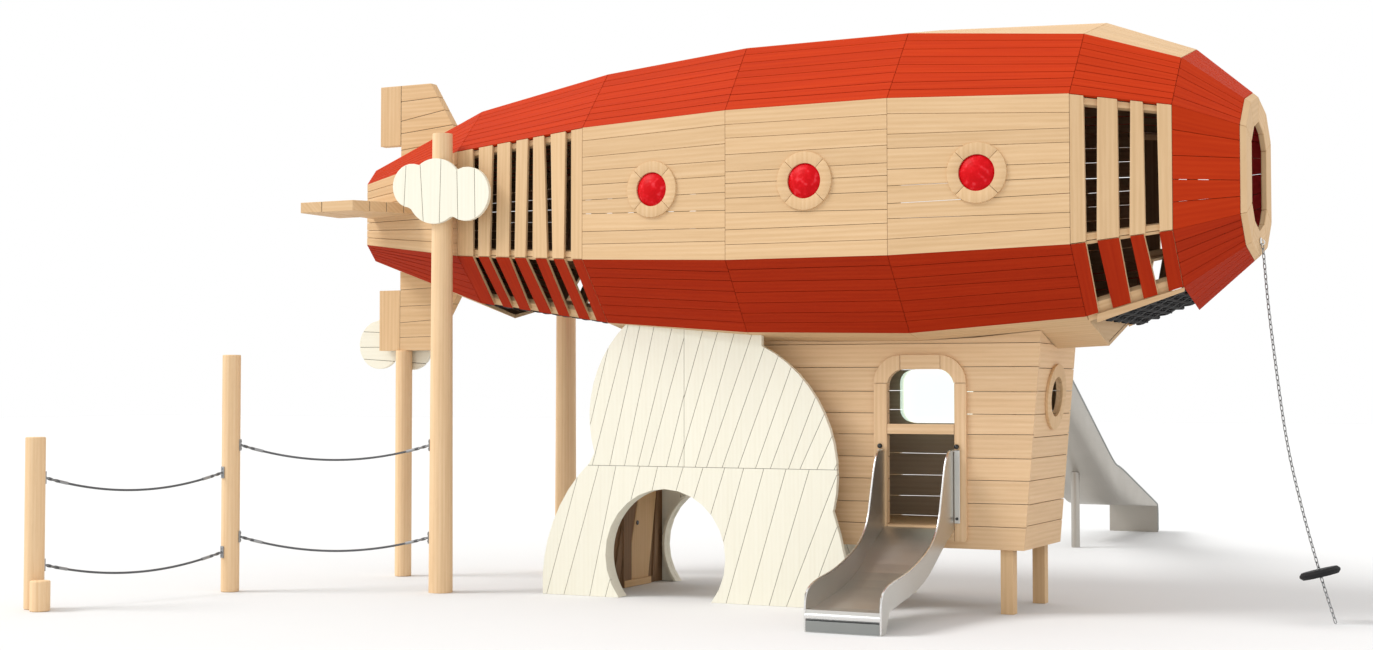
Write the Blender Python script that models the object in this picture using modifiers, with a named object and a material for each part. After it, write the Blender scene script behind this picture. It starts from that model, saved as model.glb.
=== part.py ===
"""A timber playground airship on posts: hull, cabin, cloud panels, fins, slides and rope course.

Metres, +Z up, +X towards the nose. The origin is on the ground at the foot of the post under the tail.
"""
from math import atan2, cos, pi, sin

import bmesh
import bpy
from mathutils import Matrix, Vector

# Gaps that neighbouring pieces keep
SEAM_GAP = 0.0002
SEAT_GAP = 0.0003

# Hull: ten flat sides between the stations, one wall thickness of boards
HULL_AXIS_Z = 3.168
HULL_WALL = 0.030
STATIONS = [
    # x, side half width, side half height, corner half width, corner height, ridge height
    (-0.105, 0.418, 0.265, 0.293, 0.398, 0.450),
    (1.155, 0.907, 0.431, 0.540, 0.806, 0.912),
    (2.460, 1.138, 0.515, 0.725, 0.995, 1.124),
    (3.720, 1.200, 0.561, 0.810, 1.091, 1.232),
    (5.000, 1.188, 0.566, 0.728, 1.113, 1.258),
    (6.300, 1.079, 0.524, 0.663, 1.011, 1.202),
    (6.955, 0.857, 0.434, 0.527, 0.810, 0.952),
    (7.390, 0.494, 0.299, 0.311, 0.491, 0.572),
]
TAIL_END, TAIL_BAY, REAR_FRAME, MID_FRAME, FORE_FRAME, BELLY_END, NOSE_BAY, NOSE_END = range(8)
# Corner numbers run round the section from the ridge, first down the far side
RIDGE, FAR_TOP, FAR_SIDE_TOP, FAR_SIDE_LOW, FAR_LOW, KEEL, NEAR_LOW, NEAR_SIDE_LOW, NEAR_SIDE_TOP, NEAR_TOP = range(10)

# Slatted bays: where the open slots lie along the hull
REAR_SLOT_START = 1.322
REAR_SLOT_PITCH = 0.193
REAR_SLOT_WIDTH = 0.062
REAR_SLOT_COUNT = 6
FRONT_SLOTS = [(6.393, 6.477), (6.609, 6.687), (6.776, 6.865)]
SLOT_MARGIN = 0.034

# Portholes
PORTHOLE_NEAR_X = (3.09, 4.36, 5.65)
PORTHOLE_FAR_X = (3.09, 5.65)
PORTHOLE_RADIUS = 0.130
PORTHOLE_RING_RADIUS = 0.215
PORTHOLE_RING_PROUD = 0.016
DOME_RISE = 0.045
DOME_RIM = 0.014
ROUND_SIDES = 32

# Nose
NOSE_RING_DEPTH = 0.040
NOSE_HOLE = (0.295, 0.215, 0.195, 0.330, 0.395)
TAIL_CAP_DEPTH = 0.030

# Deck inside, with a hatch over the crawl space and one over the cabin
DECK_TOP = 2.240
DECK_THICKNESS = 0.030
HATCHES = [(2.80, 3.35), (4.05, 4.60)]
HATCH_HALF_WIDTH = 0.27
NET_THICKNESS = 0.014

# Tail fins, drawn once as seen from the side: distance along the hull and out from its axis
FIN_THICKNESS = 0.088
FIN_RADIUS = 1.178
FIN_BACK = -0.016
FIN_TIP_FRONT = 0.303
FIN_ROOT_FRONT = 0.700
FIN_ROOT_RADIUS = 0.511
RUDDER_BACK = -0.235
RUDDER_INNER = 0.644

# Posts
TAIL_POST_X = 1.073
TAIL_POST_Y = 1.008
TAIL_POST_FOOT_RADIUS = 0.098
TAIL_POST_TOP_RADIUS = 0.082
TAIL_POST_HEIGHT = 3.733
TAIL_BRACKET = (0.086, 0.150)
FIN_POST_RADIUS = 0.073
ROPE_POST_RADIUS = 0.074
ROPE_POST_INNER = (-0.497, -1.723)
ROPE_POST_OUTER = (-0.986, -3.365)
ROPE_STUB = (-0.840, -3.450)
ROPE_POST_INNER_HEIGHT = 1.927
ROPE_POST_OUTER_HEIGHT = 1.286
ROPE_STUB_HEIGHT = 0.225
POST_SIDES = 24

# Cloud panels: lobes as centre x, centre z, radius
CLOUD_THICKNESS = 0.035
CLOUD_NEAR_LOBES = [(0.847, 3.308, 0.180), (1.075, 3.254, 0.266), (1.379, 3.218, 0.218)]
CLOUD_LOW_LOBES = [(-0.320, 2.046, 0.216), (-0.130, 2.170, 0.220), (0.030, 2.030, 0.210)]
CLOUD_LOBE_STEPS = 72

# Cloud walls under the hull
CLOUD_WALL_FACE = 0.720
CLOUD_WALL_THICKNESS = 0.045
CLOUD_WALL_TOP = 2.30
LOWER_LEFT_LOBE = (3.180, 0.084, 1.319)
UPPER_LEFT_LOBE = (3.258, 1.433, 0.965)
UPPER_RIGHT_LOBE = (3.334, 0.998, 1.084)
LOWER_RIGHT_LOBE = (1.639, -0.199, 2.897)
CLOUD_TOP_LEFT_X = 2.620
CLOUD_TOP_RIGHT_X = 3.800
CRAWL_HOLE_NEAR = (2.966, 0.337, 0.527)
CRAWL_HOLE_FAR = (2.780, 0.320, 0.500)
PARTITION_X = 2.200
PARTITION_THICKNESS = 0.030
PARTITION_HEIGHT = 0.930
PARTITION_PLANK = (0.025, 0.070)

# Cabin
CABIN_FACE = 0.488
CABIN_WALL = 0.030
CABIN_BOTTOM = 0.467
CABIN_WALL_REACH = 2.300
CABIN_FRONT_BOTTOM_X = 5.784
CABIN_FRONT_LEAN = 0.134 / 1.557
CABIN_REAR_BOTTOM_X = 3.820
CABIN_REAR_LEAN = -0.120 / 1.557
CABIN_FLOOR_TOP = 0.635
CABIN_FLOOR_THICKNESS = 0.035
CABIN_LEG = 0.095
CABIN_LEG_Y = 0.410
CABIN_LEG_X = (3.950, 5.646)
DOOR_X = (4.740, 5.267)
DOOR_Z = (0.635, 1.795)
DOOR_CORNER = 0.130
DOOR_RAIL_Z = (1.311, 1.385)
DOOR_FRAME_X = (4.635, 5.359)
DOOR_FRAME_Z = (0.522, 1.900)
DOOR_FRAME_CORNER = 0.210
DOOR_FRAME_THICKNESS = 0.027
FAR_WINDOW_X = (4.510, 5.100)
FAR_WINDOW_Z = (1.376, 1.807)
FAR_WINDOW_CORNER = 0.110
FRONT_WINDOW_Z = 1.590
FRONT_WINDOW_RADIUS = 0.150
FRONT_RING_RADIUS = 0.245
FRONT_RING_THICKNESS = 0.022

# Slides: steel channels, drawn in the plane across the hull
SLIDE_HALF_WIDTH = 0.276
SLIDE_SHEET = 0.006
SLIDE_EASE = 0.30
SLIDE_NEAR_X = 4.990
SLIDE_NEAR_TOP = [(-0.5157, 1.186), (-0.650, 1.186), (-0.725, 1.080), (-0.800, 0.860), (-0.870, 0.650),
                  (-1.060, 0.500), (-1.500, 0.372), (-1.900, 0.326), (-2.045, 0.255)]
SLIDE_NEAR_UNDER = [(-1.880, 0.146), (-1.180, 0.260), (-0.740, 0.510), (-0.5157, 0.612)]
SLIDE_NEAR_FOOT = (-1.960, -2.045)
SLIDE_FAR_X = 4.503
SLIDE_FAR_TOP = [(1.000, 3.080), (1.750, 3.080), (4.558, 1.761), (6.303, 0.842), (6.522, 0.813), (8.222, 0.336)]
SLIDE_FAR_UNDER = [(8.250, 0.300), (6.620, 0.395), (6.300, 0.455), (4.558, 1.368), (1.750, 2.694), (1.000, 2.694)]
SLIDE_FAR_FOOT = (8.250, 8.313)
SLIDE_FAR_MOUTH_X = 0.270
SLIDE_FAR_MOUTH_Z = (2.700, 3.660)
SLIDE_LEG_Y = 5.706
SLIDE_LEG_RADIUS = 0.044
HANDLE_RADIUS = 0.021
HANDLE_Z = (0.664, 1.250)

# Ropes between the posts, and the mooring chain at the nose
ROPE_RADIUS = 0.009
ROPE_HEIGHTS_OUTER = [("rope_outer_top", 0.980, 0.970, 0.857), ("rope_outer_low", 0.325, 0.325, 0.216)]
ROPE_HEIGHTS_INNER = [("rope_inner_top", 1.192, 1.191, 1.070), ("rope_inner_low", 0.446, 0.442, 0.331)]
ROPE_END_SPACE = 0.0028
ROPE_STEPS = 30
CHAIN_RADIUS = 0.009
CHAIN_ROUTE = [(7.3996, 2.683), (7.412, 2.620), (7.453, 2.138), (7.548, 1.355), (7.645, 0.862),
               (7.775, 0.353), (7.878, 0.006)]
CHAIN_STEPS = 9
DISC_CENTRE = (7.775, 0.353)
DISC_RADIUS = 0.1425
DISC_THICKNESS = 0.050
DISC_EDGE = 0.018
DISC_BORE = 0.0096


def fresh_collection(name):
    collection = bpy.data.collections.new(name)
    bpy.context.scene.collection.children.link(collection)
    return collection


def material(name, colour, roughness, metallic=0.0):
    made = bpy.data.materials.new(name)
    made.use_nodes = True
    shader = made.node_tree.nodes["Principled BSDF"]
    shader.inputs["Base Color"].default_value = (*colour, 1.0)
    shader.inputs["Roughness"].default_value = roughness
    shader.inputs["Metallic"].default_value = metallic
    return made


def add_object(name, mesh, finish=None):
    """A piece with its finish, or a cutter where none is given."""
    made = bpy.data.objects.new(name, mesh)
    if finish is None:
        made.hide_render = True
        made.display_type = 'WIRE'
        CUTTERS.objects.link(made)
    else:
        made.data.materials.append(finish)
        PARTS.objects.link(made)
    return made


def mesh_from(bm, name):
    mesh = bpy.data.meshes.new(name)
    bm.to_mesh(mesh)
    bm.free()
    return mesh


def boxes(name, corner_pairs, finish=None):
    """One object holding a block for each pair of lowest and highest corners."""
    bm = bmesh.new()
    for low, high in corner_pairs:
        size = [b - a for a, b in zip(low, high)]
        middle = [(a + b) / 2 for a, b in zip(low, high)]
        place = Matrix.Translation(middle) @ Matrix.Diagonal((*size, 1.0))
        bmesh.ops.create_cube(bm, size=1.0, matrix=place)
    return add_object(name, mesh_from(bm, name), finish)


def drum(name, place, foot_radius, top_radius, low, high, sides, finish=None):
    """A round post or cutter along the local Z of its place, from low to high."""
    bm = bmesh.new()
    centre = place @ Matrix.Translation((0, 0, (low + high) / 2))
    bmesh.ops.create_cone(bm, cap_ends=True, segments=sides, radius1=foot_radius, radius2=top_radius,
                          depth=high - low, matrix=centre)
    return add_object(name, mesh_from(bm, name), finish)


def plate(name, outlines, thickness, place, finish=None):
    """A flat outline with its holes, made as a filled 2D curve, as thick as stated about its plane."""
    curve = bpy.data.curves.new(name, 'CURVE')
    curve.dimensions = '2D'
    curve.fill_mode = 'BOTH'
    curve.extrude = thickness / 2
    for outline in outlines:
        spline = curve.splines.new('POLY')
        spline.points.add(len(outline) - 1)
        for point, (u, v) in zip(spline.points, outline):
            point.co = (u, v, 0, 1)
        spline.use_cyclic_u = True
    guide = bpy.data.objects.new(name + "_outline", curve)
    bpy.context.scene.collection.objects.link(guide)
    seen = guide.evaluated_get(bpy.context.evaluated_depsgraph_get())
    bm = bmesh.new()
    loose = bpy.data.meshes.new_from_object(seen)
    bm.from_mesh(loose)
    bmesh.ops.remove_doubles(bm, verts=bm.verts, dist=0.00002)
    bmesh.ops.transform(bm, matrix=place, verts=bm.verts)
    bmesh.ops.recalc_face_normals(bm, faces=bm.faces)
    bpy.data.objects.remove(guide)
    bpy.data.meshes.remove(loose)
    return add_object(name, mesh_from(bm, name), finish)


def turned(name, profile, steps, place, finish):
    """A turned solid from a profile of radius and height that runs down its outer side."""
    bm = bmesh.new()
    verts = [bm.verts.new((radius, 0, height)) for radius, height in profile]
    for first, second in zip(verts, verts[1:]):
        bm.edges.new((first, second))
    made = add_object(name, mesh_from(bm, name), finish)
    made.matrix_world = place
    screw = made.modifiers.new("Turn", 'SCREW')
    screw.steps = steps
    screw.render_steps = steps
    screw.use_merge_vertices = True
    screw.merge_threshold = 0.0001
    return made


def combine(target, tool, operation='DIFFERENCE'):
    boolean = target.modifiers.new(operation.title(), 'BOOLEAN')
    boolean.operation = operation
    boolean.solver = 'EXACT'
    boolean.object = tool


def smooth_shade(target, angle=0.6):
    target.data.shade_smooth()
    target.data.set_sharp_from_angle(angle=angle)


def across_hull(y):
    """Place for an outline of (x, z) that stands along the hull at the given y."""
    return Matrix.Translation((0, y, 0)) @ Matrix.Rotation(pi / 2, 4, 'X')


def along_hull(x):
    """Place for an outline of (y, z) that stands across the hull at the given x."""
    return Matrix.Translation((x, 0, 0)) @ Matrix(((0, 0, 1, 0), (1, 0, 0, 0), (0, 1, 0, 0), (0, 0, 0, 1)))


def arc(centre_x, centre_z, radius, start, end, steps):
    """Points along an arc, with both ends."""
    turns = [start + (end - start) * i / steps for i in range(steps + 1)]
    return [(centre_x + radius * cos(t), centre_z + radius * sin(t)) for t in turns]


def arc_between(lobe, start, end, steps):
    """The arc of a lobe from one point to another, the short way round."""
    x, z, radius = lobe
    first = atan2(start[1] - z, start[0] - x)
    last = atan2(end[1] - z, end[0] - x)
    if last - first > pi:
        last -= 2 * pi
    if first - last > pi:
        last += 2 * pi
    return arc(x, z, radius, first, last, steps)


def circle(centre_x, centre_z, radius, sides):
    return arc(centre_x, centre_z, radius, 0, 2 * pi * (sides - 1) / sides, sides - 1)


def rounded_box(low_x, high_x, low_z, high_z, top_radius, low_radius, steps=6):
    """An upright outline whose upper and lower corners have their own radius."""
    corners = [(high_x, high_z, top_radius, 0), (low_x, high_z, top_radius, 1),
               (low_x, low_z, low_radius, 2), (high_x, low_z, low_radius, 3)]
    outline = []
    for x, z, radius, quarter in corners:
        if radius == 0:
            outline.append((x, z))
            continue
        middle_x = x - radius * (1 if quarter in (0, 3) else -1)
        middle_z = z - radius * (1 if quarter in (0, 1) else -1)
        outline += arc(middle_x, middle_z, radius, quarter * pi / 2, (quarter + 1) * pi / 2, steps)
    return outline


def smooth_route(points, steps):
    """A smooth curve through the points, in their own number of coordinates."""
    points = [Vector(p) for p in points]
    ends = [2 * points[0] - points[1]] + points + [2 * points[-1] - points[-2]]
    route = []
    for before, start, end, after in zip(ends, ends[1:], ends[2:], ends[3:]):
        for i in range(steps):
            t = i / steps
            route.append(0.5 * (2 * start + (end - before) * t + (2 * before - 5 * start + 4 * end - after) * t ** 2
                                + (3 * start - before - 3 * end + after) * t ** 3))
    return route + [points[-1]]


def eased_route(points, reach, steps):
    """Straight runs between the points, with each corner eased over the reach before and after it."""
    points = [Vector(p) for p in points]
    route = [points[0]]
    for before, corner, after in zip(points, points[1:], points[2:]):
        back, ahead = before - corner, after - corner
        start = corner + back.normalized() * min(reach, back.length * 0.45)
        end = corner + ahead.normalized() * min(reach, ahead.length * 0.45)
        for i in range(steps + 1):
            t = i / steps
            route.append(start * (1 - t) ** 2 + corner * 2 * t * (1 - t) + end * t ** 2)
    return [tuple(p) for p in route + [points[-1]]]


def station_at(x):
    """The section's sizes at any x, straight between the stations."""
    for before, after in zip(STATIONS, STATIONS[1:]):
        if x <= after[0] or after is STATIONS[-1]:
            share = (x - before[0]) / (after[0] - before[0])
            return [a + (b - a) * share for a, b in zip(before, after)]


def section(sizes, inset):
    """Ten corners (y, z) of the hull's section, moved in by the inset and square to its sides."""
    side_y, side_z, corner_y, corner_z, ridge_z = sizes
    half = [(0, ridge_z), (corner_y, corner_z), (side_y, side_z), (side_y, -side_z), (corner_y, -corner_z)]
    corners = [Vector(p) for p in half + [(-y, -z) for y, z in half]]
    moved = []
    for i, corner in enumerate(corners):
        back = (corner - corners[i - 1]).normalized()
        ahead = (corners[(i + 1) % 10] - corner).normalized()
        inward = Vector((-back.y, back.x)) + Vector((-ahead.y, ahead.x))
        share = inset / (1 + back.dot(ahead))
        moved.append(corner - inward * share)
    return moved


def hull_point(x, corner, inset):
    y, z = section(station_at(x)[1:], inset)[corner % 10]
    return Vector((x, y, HULL_AXIS_Z + z))


def add_quad(bm, a, b, c, d):
    """Two triangles that share the diagonal from a to c."""
    bm.faces.new((a, b, c))
    bm.faces.new((a, c, d))


def hull_xs(first, last, gap=SEAM_GAP):
    xs = [row[0] for row in STATIONS[first:last + 1]]
    return [xs[0] + gap] + xs[1:-1] + [xs[-1] - gap]


def hull_strip(name, corners, first, last, finish, wall=HULL_WALL):
    """Boards on the given run of corners between two stations, mitred against the next strips."""
    bm = bmesh.new()
    rings = []
    for x in hull_xs(first, last):
        faces_out = [hull_point(x, c, 0.0) for c in corners]
        faces_in = [p + (hull_point(x, c, HULL_WALL) - p) * (wall / HULL_WALL) for c, p in zip(corners, faces_out)]
        for skin in (faces_out, faces_in):
            skin[0] += (skin[1] - skin[0]).normalized() * SEAM_GAP
            skin[-1] += (skin[-2] - skin[-1]).normalized() * SEAM_GAP
        rings.append([[bm.verts.new(p) for p in skin] for skin in (faces_out, faces_in)])
    for (out_a, in_a), (out_b, in_b) in zip(rings, rings[1:]):
        for skin_a, skin_b in ((out_a, out_b), (in_a, in_b)):
            for i, corner in enumerate(corners[:-1]):
                if corner % 10 < 5:
                    add_quad(bm, skin_a[i], skin_a[i + 1], skin_b[i + 1], skin_b[i])
                else:
                    add_quad(bm, skin_a[i + 1], skin_b[i + 1], skin_b[i], skin_a[i])
        for i in (0, -1):
            add_quad(bm, out_a[i], out_b[i], in_b[i], in_a[i])
    for out_ring, in_ring in (rings[0], rings[-1]):
        for i in range(len(corners) - 1):
            add_quad(bm, out_ring[i], out_ring[i + 1], in_ring[i + 1], in_ring[i])
    bmesh.ops.recalc_face_normals(bm, faces=bm.faces)
    return add_object(name, mesh_from(bm, name), finish)


def hull_solid(name, inset, first=TAIL_END, last=NOSE_END):
    """The whole hull as one solid, for cutting and for trimming."""
    bm = bmesh.new()
    xs = hull_xs(first, last, 0.0)
    rings = [[bm.verts.new(hull_point(x, c, inset)) for c in range(10)] for x in xs]
    for ring_a, ring_b in zip(rings, rings[1:]):
        for i in range(10):
            j = (i + 1) % 10
            if i < 5:
                add_quad(bm, ring_a[i], ring_a[j], ring_b[j], ring_b[i])
            else:
                add_quad(bm, ring_a[j], ring_b[j], ring_b[i], ring_a[i])
    bm.faces.new(rings[0])
    bm.faces.new(rings[-1])
    bmesh.ops.recalc_face_normals(bm, faces=bm.faces)
    return add_object(name, mesh_from(bm, name))


def hull_ring(name, first, last, front_gap, finish):
    """A closed run of all ten sides between two stations, open at both ends."""
    bm = bmesh.new()
    xs = [STATIONS[first][0] + SEAM_GAP, STATIONS[last][0] - front_gap]
    rings = [[[bm.verts.new(hull_point(x, c, inset)) for c in range(10)] for inset in (0.0, HULL_WALL)] for x in xs]
    for i in range(10):
        j = (i + 1) % 10
        for skin in (0, 1):
            a, b = rings[0][skin], rings[1][skin]
            if i < 5:
                add_quad(bm, a[i], a[j], b[j], b[i])
            else:
                add_quad(bm, a[j], b[j], b[i], a[i])
        for ring in rings:
            add_quad(bm, ring[0][i], ring[0][j], ring[1][j], ring[1][i])
    bmesh.ops.recalc_face_normals(bm, faces=bm.faces)
    return add_object(name, mesh_from(bm, name), finish)


def slot_cutters():
    """Blocks for the open slots of the slatted bays: one set for the sides, one for the lower slopes."""
    spans = [(REAR_SLOT_START + i * REAR_SLOT_PITCH, REAR_SLOT_START + i * REAR_SLOT_PITCH + REAR_SLOT_WIDTH)
             for i in range(REAR_SLOT_COUNT)]
    side, low = [], []
    for start, end in spans + FRONT_SLOTS:
        narrow = min((station_at(start), station_at(end)), key=lambda row: row[2])
        side_z, corner_z, side_y = narrow[2], narrow[4], narrow[1]
        side_reach = side_z - SLOT_MARGIN
        side.append(((start, -1.5, HULL_AXIS_Z - side_reach), (end, 1.5, HULL_AXIS_Z + side_reach)))
        wide_z = max(station_at(start)[2], station_at(end)[2])
        low.append(((start, -side_y - 0.3, HULL_AXIS_Z - corner_z + SLOT_MARGIN),
                    (end, side_y + 0.3, HULL_AXIS_Z - wide_z - SLOT_MARGIN)))
    return boxes("slots_side", side), boxes("slots_low", low)


def facet_place(x, side):
    """Place on a side of the hull, local Z pointing out of the boards; side is -1 near and 1 far."""
    for before, after in zip(STATIONS, STATIONS[1:]):
        if before[0] <= x <= after[0]:
            turn = atan2(after[1] - before[1], after[0] - before[0])
    outward = Vector((-sin(turn), side * cos(turn), 0))
    spot = Vector((x, side * station_at(x)[1], HULL_AXIS_Z))
    return Matrix.Translation(spot) @ outward.to_track_quat('Z', 'Y').to_matrix().to_4x4()


def add_porthole(panel, name, x, side, finish):
    """A ring that stands proud of the boards, a hole through it and a domed window in the hole."""
    place = facet_place(x, side)
    ring = drum(name + "_ring", place, PORTHOLE_RING_RADIUS, PORTHOLE_RING_RADIUS,
                -HULL_WALL * 0.8, PORTHOLE_RING_PROUD, ROUND_SIDES)
    hole = drum(name + "_hole", place, PORTHOLE_RADIUS, PORTHOLE_RADIUS, -0.1, 0.1, ROUND_SIDES)
    combine(panel, ring, 'UNION')
    combine(panel, hole)
    rim = PORTHOLE_RADIUS * cos(pi / ROUND_SIDES) - SEAT_GAP
    ball = (rim ** 2 + DOME_RISE ** 2) / (2 * DOME_RISE)
    crown = [(rim * i / 5, DOME_RISE - ball + (ball ** 2 - (rim * i / 5) ** 2) ** 0.5) for i in range(6)]
    dome = turned(name, crown + [(rim, -DOME_RIM), (0, -DOME_RIM)], ROUND_SIDES, place, finish)
    smooth_shade(dome)


def build_hull():
    rear_slots, low_slots = slot_cutters()
    near_side = [NEAR_SIDE_LOW, NEAR_SIDE_TOP]
    far_side = [FAR_SIDE_TOP, FAR_SIDE_LOW]
    strips = {}
    rows = [
        # name, corners, first station, last station, finish
        ("side_near_tail", near_side, TAIL_END, REAR_FRAME, WOOD),
        ("side_near_rear", near_side, REAR_FRAME, MID_FRAME, WOOD),
        ("side_near_mid", near_side, MID_FRAME, FORE_FRAME, WOOD),
        ("side_near_fore", near_side, FORE_FRAME, BELLY_END, WOOD),
        ("side_near_front", near_side, BELLY_END, NOSE_BAY, WOOD),
        ("side_far_tail", far_side, TAIL_END, REAR_FRAME, WOOD),
        ("side_far_mid", far_side, REAR_FRAME, BELLY_END, WOOD),
        ("side_far_front", far_side, BELLY_END, NOSE_BAY, WOOD),
        ("upper_near", [NEAR_SIDE_TOP, NEAR_TOP], TAIL_END, NOSE_BAY, RED),
        ("upper_far", [FAR_TOP, FAR_SIDE_TOP], TAIL_END, NOSE_BAY, RED),
        ("roof", [NEAR_TOP, RIDGE + 10, FAR_TOP + 10], TAIL_END, NOSE_BAY, WOOD),
        ("lower_near", [NEAR_LOW, NEAR_SIDE_LOW], TAIL_END, NOSE_BAY, RED),
        ("lower_far", [FAR_SIDE_LOW, FAR_LOW], TAIL_END, NOSE_BAY, RED),
        ("keel_tail", [FAR_LOW, KEEL, NEAR_LOW], TAIL_END, TAIL_BAY, WOOD),
        ("keel_mid", [FAR_LOW, KEEL, NEAR_LOW], REAR_FRAME, BELLY_END, WOOD),
    ]
    for name, corners, first, last, finish in rows:
        strips[name] = hull_strip(name, corners, first, last, finish)
    for name, first, last in (("belly_net_rear", TAIL_BAY, REAR_FRAME), ("belly_net_front", BELLY_END, NOSE_BAY)):
        hull_strip(name, [FAR_LOW, NEAR_LOW], first, last, BLACK, wall=NET_THICKNESS)
    for name in ("side_near_tail", "side_near_front", "side_far_tail", "side_far_front"):
        combine(strips[name], rear_slots)
    for name in ("lower_near", "lower_far"):
        combine(strips[name], low_slots)
    near_panels = ("side_near_rear", "side_near_mid", "side_near_fore")
    for panel, place, x in zip(near_panels, ("rear", "mid", "fore"), PORTHOLE_NEAR_X):
        add_porthole(strips[panel], "porthole_near_" + place, x, -1, RED_GLOSS)
    for place, x in zip(("rear", "fore"), PORTHOLE_FAR_X):
        add_porthole(strips["side_far_mid"], "porthole_far_" + place, x, 1, RED_GLOSS)
    mouth = boxes("slide_mouth", [((SLIDE_FAR_X - SLIDE_FAR_MOUTH_X, 0.9, SLIDE_FAR_MOUTH_Z[0]),
                                   (SLIDE_FAR_X + SLIDE_FAR_MOUTH_X, 1.5, SLIDE_FAR_MOUTH_Z[1]))])
    combine(strips["side_far_mid"], mouth)
    hatches = boxes("hatches", [((start, -HATCH_HALF_WIDTH, 1.5), (end, HATCH_HALF_WIDTH, 2.5))
                                for start, end in HATCHES])
    combine(strips["keel_mid"], hatches)
    build_deck(hatches)
    build_nose_and_tail()


def build_deck(hatches):
    inside = hull_solid("hull_inside", HULL_WALL + 2 * SEAM_GAP, REAR_FRAME, BELLY_END)
    start, end = STATIONS[REAR_FRAME][0], STATIONS[BELLY_END][0]
    deck = boxes("deck", [((start + 0.01, -1.2, DECK_TOP - DECK_THICKNESS), (end - 0.01, 1.2, DECK_TOP))], WOOD_INSIDE)
    combine(deck, inside, 'INTERSECT')
    combine(deck, hatches)


def build_nose_and_tail():
    hull_ring("nose_shell", NOSE_BAY, NOSE_END, NOSE_RING_DEPTH + SEAM_GAP, RED)
    hole = section(NOSE_HOLE, 0.0)
    back = section(STATIONS[NOSE_BAY][1:], 0.0)
    middle = STATIONS[NOSE_END][0] - NOSE_RING_DEPTH / 2
    lift = Matrix.Translation((0, 0, HULL_AXIS_Z))
    ring = plate("nose_ring", [back, hole], NOSE_RING_DEPTH, lift @ along_hull(middle), WOOD)
    combine(ring, hull_solid("hull_skin", 0.0, NOSE_BAY, NOSE_END), 'INTERSECT')
    cap = section(STATIONS[TAIL_END][1:], HULL_WALL + 2 * SEAM_GAP)
    plate("tail_cap", [cap], TAIL_CAP_DEPTH, lift @ along_hull(STATIONS[TAIL_END][0] + TAIL_CAP_DEPTH / 2), WOOD)


def build_fins(envelope):
    outline = [(RUDDER_BACK, RUDDER_INNER), (RUDDER_BACK, FIN_RADIUS), (FIN_TIP_FRONT, FIN_RADIUS),
               (FIN_ROOT_FRONT, FIN_ROOT_RADIUS), (FIN_ROOT_FRONT, 0.2), (FIN_BACK, 0.2), (FIN_BACK, RUDDER_INNER)]
    for name, quarter in (("fin_top", 0), ("fin_near", 1), ("fin_bottom", 2), ("fin_far", 3)):
        turn = Matrix.Rotation(quarter * pi / 2, 4, 'X')
        place = Matrix.Translation((0, 0, HULL_AXIS_Z)) @ turn @ across_hull(0)
        fin = plate(name, [outline], FIN_THICKNESS, place, WOOD)
        combine(fin, envelope)


def upright(x, y):
    return Matrix.Translation((x, y, 0))


def build_posts(envelope):
    half_width, height = TAIL_BRACKET[0] / 2, TAIL_BRACKET[1]
    for name, side in (("tail_post_near", -1), ("tail_post_far", 1)):
        post = drum(name, upright(TAIL_POST_X, side * TAIL_POST_Y), TAIL_POST_FOOT_RADIUS, TAIL_POST_TOP_RADIUS,
                    0, TAIL_POST_HEIGHT, POST_SIDES, WOOD)
        reach = sorted((side * 0.75, side * TAIL_POST_Y))
        block = boxes(name + "_block", [((TAIL_POST_X - half_width, reach[0], HULL_AXIS_Z - height / 2),
                                         (TAIL_POST_X + half_width, reach[1], HULL_AXIS_Z + height / 2))])
        combine(post, block, 'UNION')
        combine(post, envelope)
        smooth_shade(post)
    posts = [
        # name, place, radius, height
        ("fin_post", (0, 0), FIN_POST_RADIUS, HULL_AXIS_Z - FIN_RADIUS - SEAT_GAP),
        ("rope_post_inner", ROPE_POST_INNER, ROPE_POST_RADIUS, ROPE_POST_INNER_HEIGHT),
        ("rope_post_outer", ROPE_POST_OUTER, ROPE_POST_RADIUS, ROPE_POST_OUTER_HEIGHT),
        ("rope_stub", ROPE_STUB, ROPE_POST_RADIUS, ROPE_STUB_HEIGHT),
    ]
    for name, (x, y), radius, height in posts:
        smooth_shade(drum(name, upright(x, y), radius, radius, 0, height, POST_SIDES, WOOD))


def lobes_outline(lobes):
    """The outer edge of overlapping lobes, as seen from a point inside them all."""
    middle_x = sum(x for x, z, r in lobes) / len(lobes)
    middle_z = sum(z for x, z, r in lobes) / len(lobes)
    outline = []
    for i in range(CLOUD_LOBE_STEPS):
        turn = 2 * pi * i / CLOUD_LOBE_STEPS
        reach = 0
        for x, z, radius in lobes:
            dx, dz = x - middle_x, z - middle_z
            ahead = dx * cos(turn) + dz * sin(turn)
            off = radius ** 2 - (dx ** 2 + dz ** 2 - ahead ** 2)
            if off > 0:
                reach = max(reach, ahead + off ** 0.5)
        outline.append((middle_x + reach * cos(turn), middle_z + reach * sin(turn)))
    return outline


def build_small_clouds():
    lowest = min(z - radius for x, z, radius in CLOUD_NEAR_LOBES)
    narrowing = (TAIL_POST_FOOT_RADIUS - TAIL_POST_TOP_RADIUS) * lowest / TAIL_POST_HEIGHT
    post_face = TAIL_POST_Y + TAIL_POST_FOOT_RADIUS - narrowing + SEAT_GAP
    plate("cloud_near", [lobes_outline(CLOUD_NEAR_LOBES)], CLOUD_THICKNESS,
          across_hull(-post_face - CLOUD_THICKNESS / 2), CREAM)
    plate("cloud_low", [lobes_outline(CLOUD_LOW_LOBES)], CLOUD_THICKNESS,
          across_hull(FIN_POST_RADIUS + SEAT_GAP + CLOUD_THICKNESS / 2), CREAM)


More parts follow.
